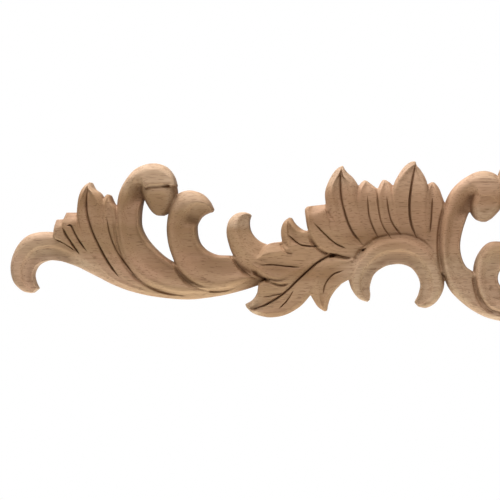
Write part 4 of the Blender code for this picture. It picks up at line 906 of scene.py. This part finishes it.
class Grain:
    """A value, vector or colour in a node tree, the wood's or the room's, with its arithmetic."""

    def __init__(self, tree, socket=None):
        self.tree = tree
        self.socket = socket

    def node(self, kind, settings, sockets, output=0):
        """Any node: its type, its settings, then the values or links of its sockets."""
        node = self.tree.nodes.new(kind)
        for name, value in settings.items():
            setattr(node, name, value)
        for name, value in sockets.items():
            if isinstance(value, Grain):
                self.tree.links.new(value.socket, node.inputs[name])
            else:
                node.inputs[name].default_value = value
        return Grain(self.tree, node.outputs[output])

    def math(self, operation, first, second):
        return self.node("ShaderNodeMath", {"operation": operation}, {0: first, 1: second})

    def __add__(self, other):
        return self.math("ADD", self, other)

    def __sub__(self, other):
        return self.math("SUBTRACT", self, other)

    def __rsub__(self, other):
        return self.math("SUBTRACT", other, self)

    def __mul__(self, other):
        return self.math("MULTIPLY", self, other)

    __radd__ = __add__
    __rmul__ = __mul__

    def times(self, stretch):
        """This vector multiplied axis by axis."""
        return self.node("ShaderNodeVectorMath", {"operation": "MULTIPLY"}, {0: self, 1: stretch})

    def plus(self, other):
        """This vector and another."""
        return self.node("ShaderNodeVectorMath", {"operation": "ADD"}, {0: self, 1: other})

    def noise(self, detail, roughness=0.5, output=0):
        """Noise over this vector, from 0 to 1."""
        sockets = {"Vector": self, "Scale": 1.0, "Detail": detail, "Roughness": roughness}
        return self.node("ShaderNodeTexNoise", {}, sockets, output)

    def between(self, low, high):
        """0 below the one value, 1 above the other, and eased in between."""
        settings = {"interpolation_type": "SMOOTHSTEP"}
        return self.node("ShaderNodeMapRange", settings, {0: self, 1: low, 2: high})

    def blend(self, colour, other):
        """One colour where this value is 0, and the other where it is 1."""
        return self.node("ShaderNodeMix", {"data_type": "RGBA"}, {0: self, 6: colour, 7: other}, 2)


def in_zones(zones, along, across):
    """How much of a colour there is at a place of the board, as the sum of its zones."""
    total = 0.0
    for share, fades_along, fades_across in zones:
        for low, high in fades_along:
            share = along.between(low, high) * share
        for low, high in fades_across:
            share = across.between(low, high) * share
        total = share + total
    return total


def raw_wood():
    """The wood's material, from the board's colours up to the tool's browning and the painted shade in
    the crevices and hollows.
    """
    material = bpy.data.materials.new("raw wood")
    material.use_nodes = True
    tree = material.node_tree
    shader = tree.nodes["Principled BSDF"]
    start = Grain(tree)

    place = start.node("ShaderNodeTexCoord", {}, {}, "Object").times((PER_MM, PER_MM, PER_MM))
    grain = place.plus(place.times(WAVES).noise(1.0, output=1).times((0.0, WAVER, WAVER)))
    along = start.node("ShaderNodeSeparateXYZ", {}, {0: grain}, "X")
    across = start.node("ShaderNodeSeparateXYZ", {}, {0: grain}, "Z")
    figure = grain.times(FIGURE).noise(3.0)
    streaks = grain.times(STREAKS).noise(3.0, 0.6)
    lines = grain.times(LINES).noise(2.0, 0.6)
    flush = grain.times(FIGURE).plus(APART).noise(2.0)
    pores = grain.times(PORES).noise(1.0).between(*OPEN_PORES)

    def enclosed(reach):
        """How much of its surroundings within reach a place has walled off."""
        sockets = {"Distance": reach}
        return 1 - start.node("ShaderNodeAmbientOcclusion", {"samples": 8}, sockets, "AO")

    def zones(table):
        return in_zones(table, along, across)

    heart = zones(HEART_ZONES) * (1 - zones(LESS_RED_ZONES)) * (1 - zones(LEAST_RED_ZONES))
    heart = heart + zones(LOWER_RED_ZONES)
    colour = (heart * (RED_LEAST + figure)).blend(TAN, REDDISH)
    colour = zones(UMBER_ZONES).blend(colour, UMBER)
    colour = zones(PALE_ZONES).blend(colour, PALE)
    colour = zones(CREAM_ZONES).blend(colour, CREAM)
    # Each pattern, the values between which it sets in, and its share and colour.
    tints = (
        (figure, 0.35, 0.60, 0.35, OLIVE),
        (flush, 0.45, 0.65, 0.45, PINK),
        (streaks, 0.46, 0.72, 0.65, STREAK),
        (lines, 0.45, 0.75, 0.50, STREAK),
    )
    for pattern, low, high, share, tint in tints:
        colour = (pattern.between(low, high) * share).blend(colour, tint)
    colour = (pores * PORE_SHARE).blend(colour, PORE)
    # Painted shade: the wood is darkened where a gouged hollow walls it in.
    painted_hollow_shade = enclosed(HOLLOW_REACH).between(*HOLLOWED).blend(WHITE, PAINTED_SHADE)
    darken = {"data_type": "RGBA", "blend_type": "MULTIPLY"}
    colour = start.node("ShaderNodeMix", darken, {0: 1.0, 6: colour, 7: painted_hollow_shade}, 2)
    # Veins and junctions: the tool's browning together with painted shade in the crevices.
    colour = (enclosed(CREVICE_REACH).between(*CREVICED) * BURN_AND_SHADE).blend(colour, CREVICE_BURN_AND_SHADE)
    tree.links.new(colour.socket, shader.inputs["Base Color"])

    roughness = DRY + lines * LINES_ADD + pores * PORES_ADD
    tree.links.new(roughness.socket, shader.inputs["Roughness"])
    height = lines * LINES_RISE + streaks * STREAKS_RISE - pores * PORES_SINK
    sockets = {"Strength": RELIEF_STRENGTH, "Distance": RELIEF, "Height": height}
    bump = start.node("ShaderNodeBump", {}, sockets)
    tree.links.new(bump.socket, shader.inputs["Normal"])
    shader.inputs["Specular IOR Level"].default_value = GLOSS
    return material


wood.data.materials.clear()
wood.data.materials.append(raw_wood())


# Floor
# A plain matt white disc for the stage. It lies well under the piece, below the edge of the
# picture.
FLOOR_DROP = 0.30
FLOOR_RADIUS = 0.9
FLOOR_SIDES = 96
FLOOR_WHITE = (0.82, 0.82, 0.81, 1.0)

mesh = bmesh.new()
bmesh.ops.create_circle(mesh, cap_ends=True, segments=FLOOR_SIDES, radius=FLOOR_RADIUS)
bmesh.ops.translate(mesh, verts=mesh.verts, vec=(0, 0, -FLOOR_DROP))
floor_data = bpy.data.meshes.new("floor")
mesh.to_mesh(floor_data)
mesh.free()
floor = bpy.data.objects.new("floor", floor_data)
bpy.context.scene.collection.objects.link(floor)
matt_white = bpy.data.materials.new("matt white")
matt_white.use_nodes = True
paint = matt_white.node_tree.nodes["Principled BSDF"]
paint.inputs["Base Color"].default_value = FLOOR_WHITE
paint.inputs["Roughness"].default_value = 0.9
floor_data.materials.append(matt_white)


# Studio light
# A long soft light above, level with the board, so that its front is lit at a low angle and its
# upper edges catch the light. Weak ones below and in front, in a dim room. The camera sees white.
ROOM = (0.035, 0.033, 0.030, 1.0)           # the dim room in front
BACK_WALL = (0.55, 0.54, 0.52, 1.0)         # and the lighter wall behind, for views from there
REARWARDS = (0.3, 0.9)                      # how far round to the back the one gives way to it
LIT_MIDDLE = Vector((-0.13, 0.0, 0.0))      # where all the lights point, in metres

# Width and height of each rectangular light and its place in metres, its colour and its watts.
LIGHTS = {
    "light above": ((1.5, 0.3), (-0.33, -0.07, 0.80), (1.0, 0.98, 1.0), 22.0),
    "light below": ((1.2, 0.1), (-0.13, -0.05, -0.28), (0.98, 1.00, 0.88), 1.5),
    "light in front": ((0.4, 0.4), (0.35, -0.65, -0.05), (1.0, 0.84, 0.70), 0.5),
}

for name, (size, place, colour, watts) in LIGHTS.items():
    light = bpy.data.lights.new(name, "AREA")
    light.shape = "RECTANGLE"
    light.size, light.size_y = size
    light.color = colour
    light.energy = watts
    lamp = bpy.data.objects.new(name, light)
    lamp.location = place
    lamp.rotation_euler = (LIT_MIDDLE - Vector(place)).to_track_quat("-Z", "Y").to_euler()
    bpy.context.scene.collection.objects.link(lamp)

room = bpy.data.worlds.new("studio")
room.use_nodes = True
bpy.context.scene.world = room
walls = Grain(room.node_tree)
seen = walls.node("ShaderNodeLightPath", {}, {}, "Is Camera Ray")
towards = walls.node("ShaderNodeTexCoord", {}, {}, "Generated")
to_back = walls.node("ShaderNodeSeparateXYZ", {}, {0: towards}, "Y").between(*REARWARDS)
around = walls.node("ShaderNodeBackground", {}, {"Color": to_back.blend(ROOM, BACK_WALL)})
white = walls.node("ShaderNodeBackground", {}, {"Color": WHITE})
either = walls.node("ShaderNodeMixShader", {}, {0: seen, 1: around, 2: white})
room.node_tree.links.new(either.socket, room.node_tree.nodes["World Output"].inputs["Surface"])

bpy.context.scene.view_settings.view_transform = "Standard"


# Camera
# Straight in front, a little to the right of the left half that the picture shows, so the
# picture takes in the half and ends just short of the middle.
EYE = SIZE * Vector((-78.0, -700.0, 0.0))
AIM = SIZE * Vector((-137.1, 0.0, 0.0))
LENS = 106.1
SENSOR = 36.0

camera = bpy.data.objects.new("camera", bpy.data.cameras.new("camera"))
camera.data.lens = LENS
camera.data.sensor_width = SENSOR
camera.location = EYE
camera.rotation_euler = (AIM - EYE).to_track_quat("-Z", "Y").to_euler()
bpy.context.scene.collection.objects.link(camera)
bpy.context.scene.camera = camera
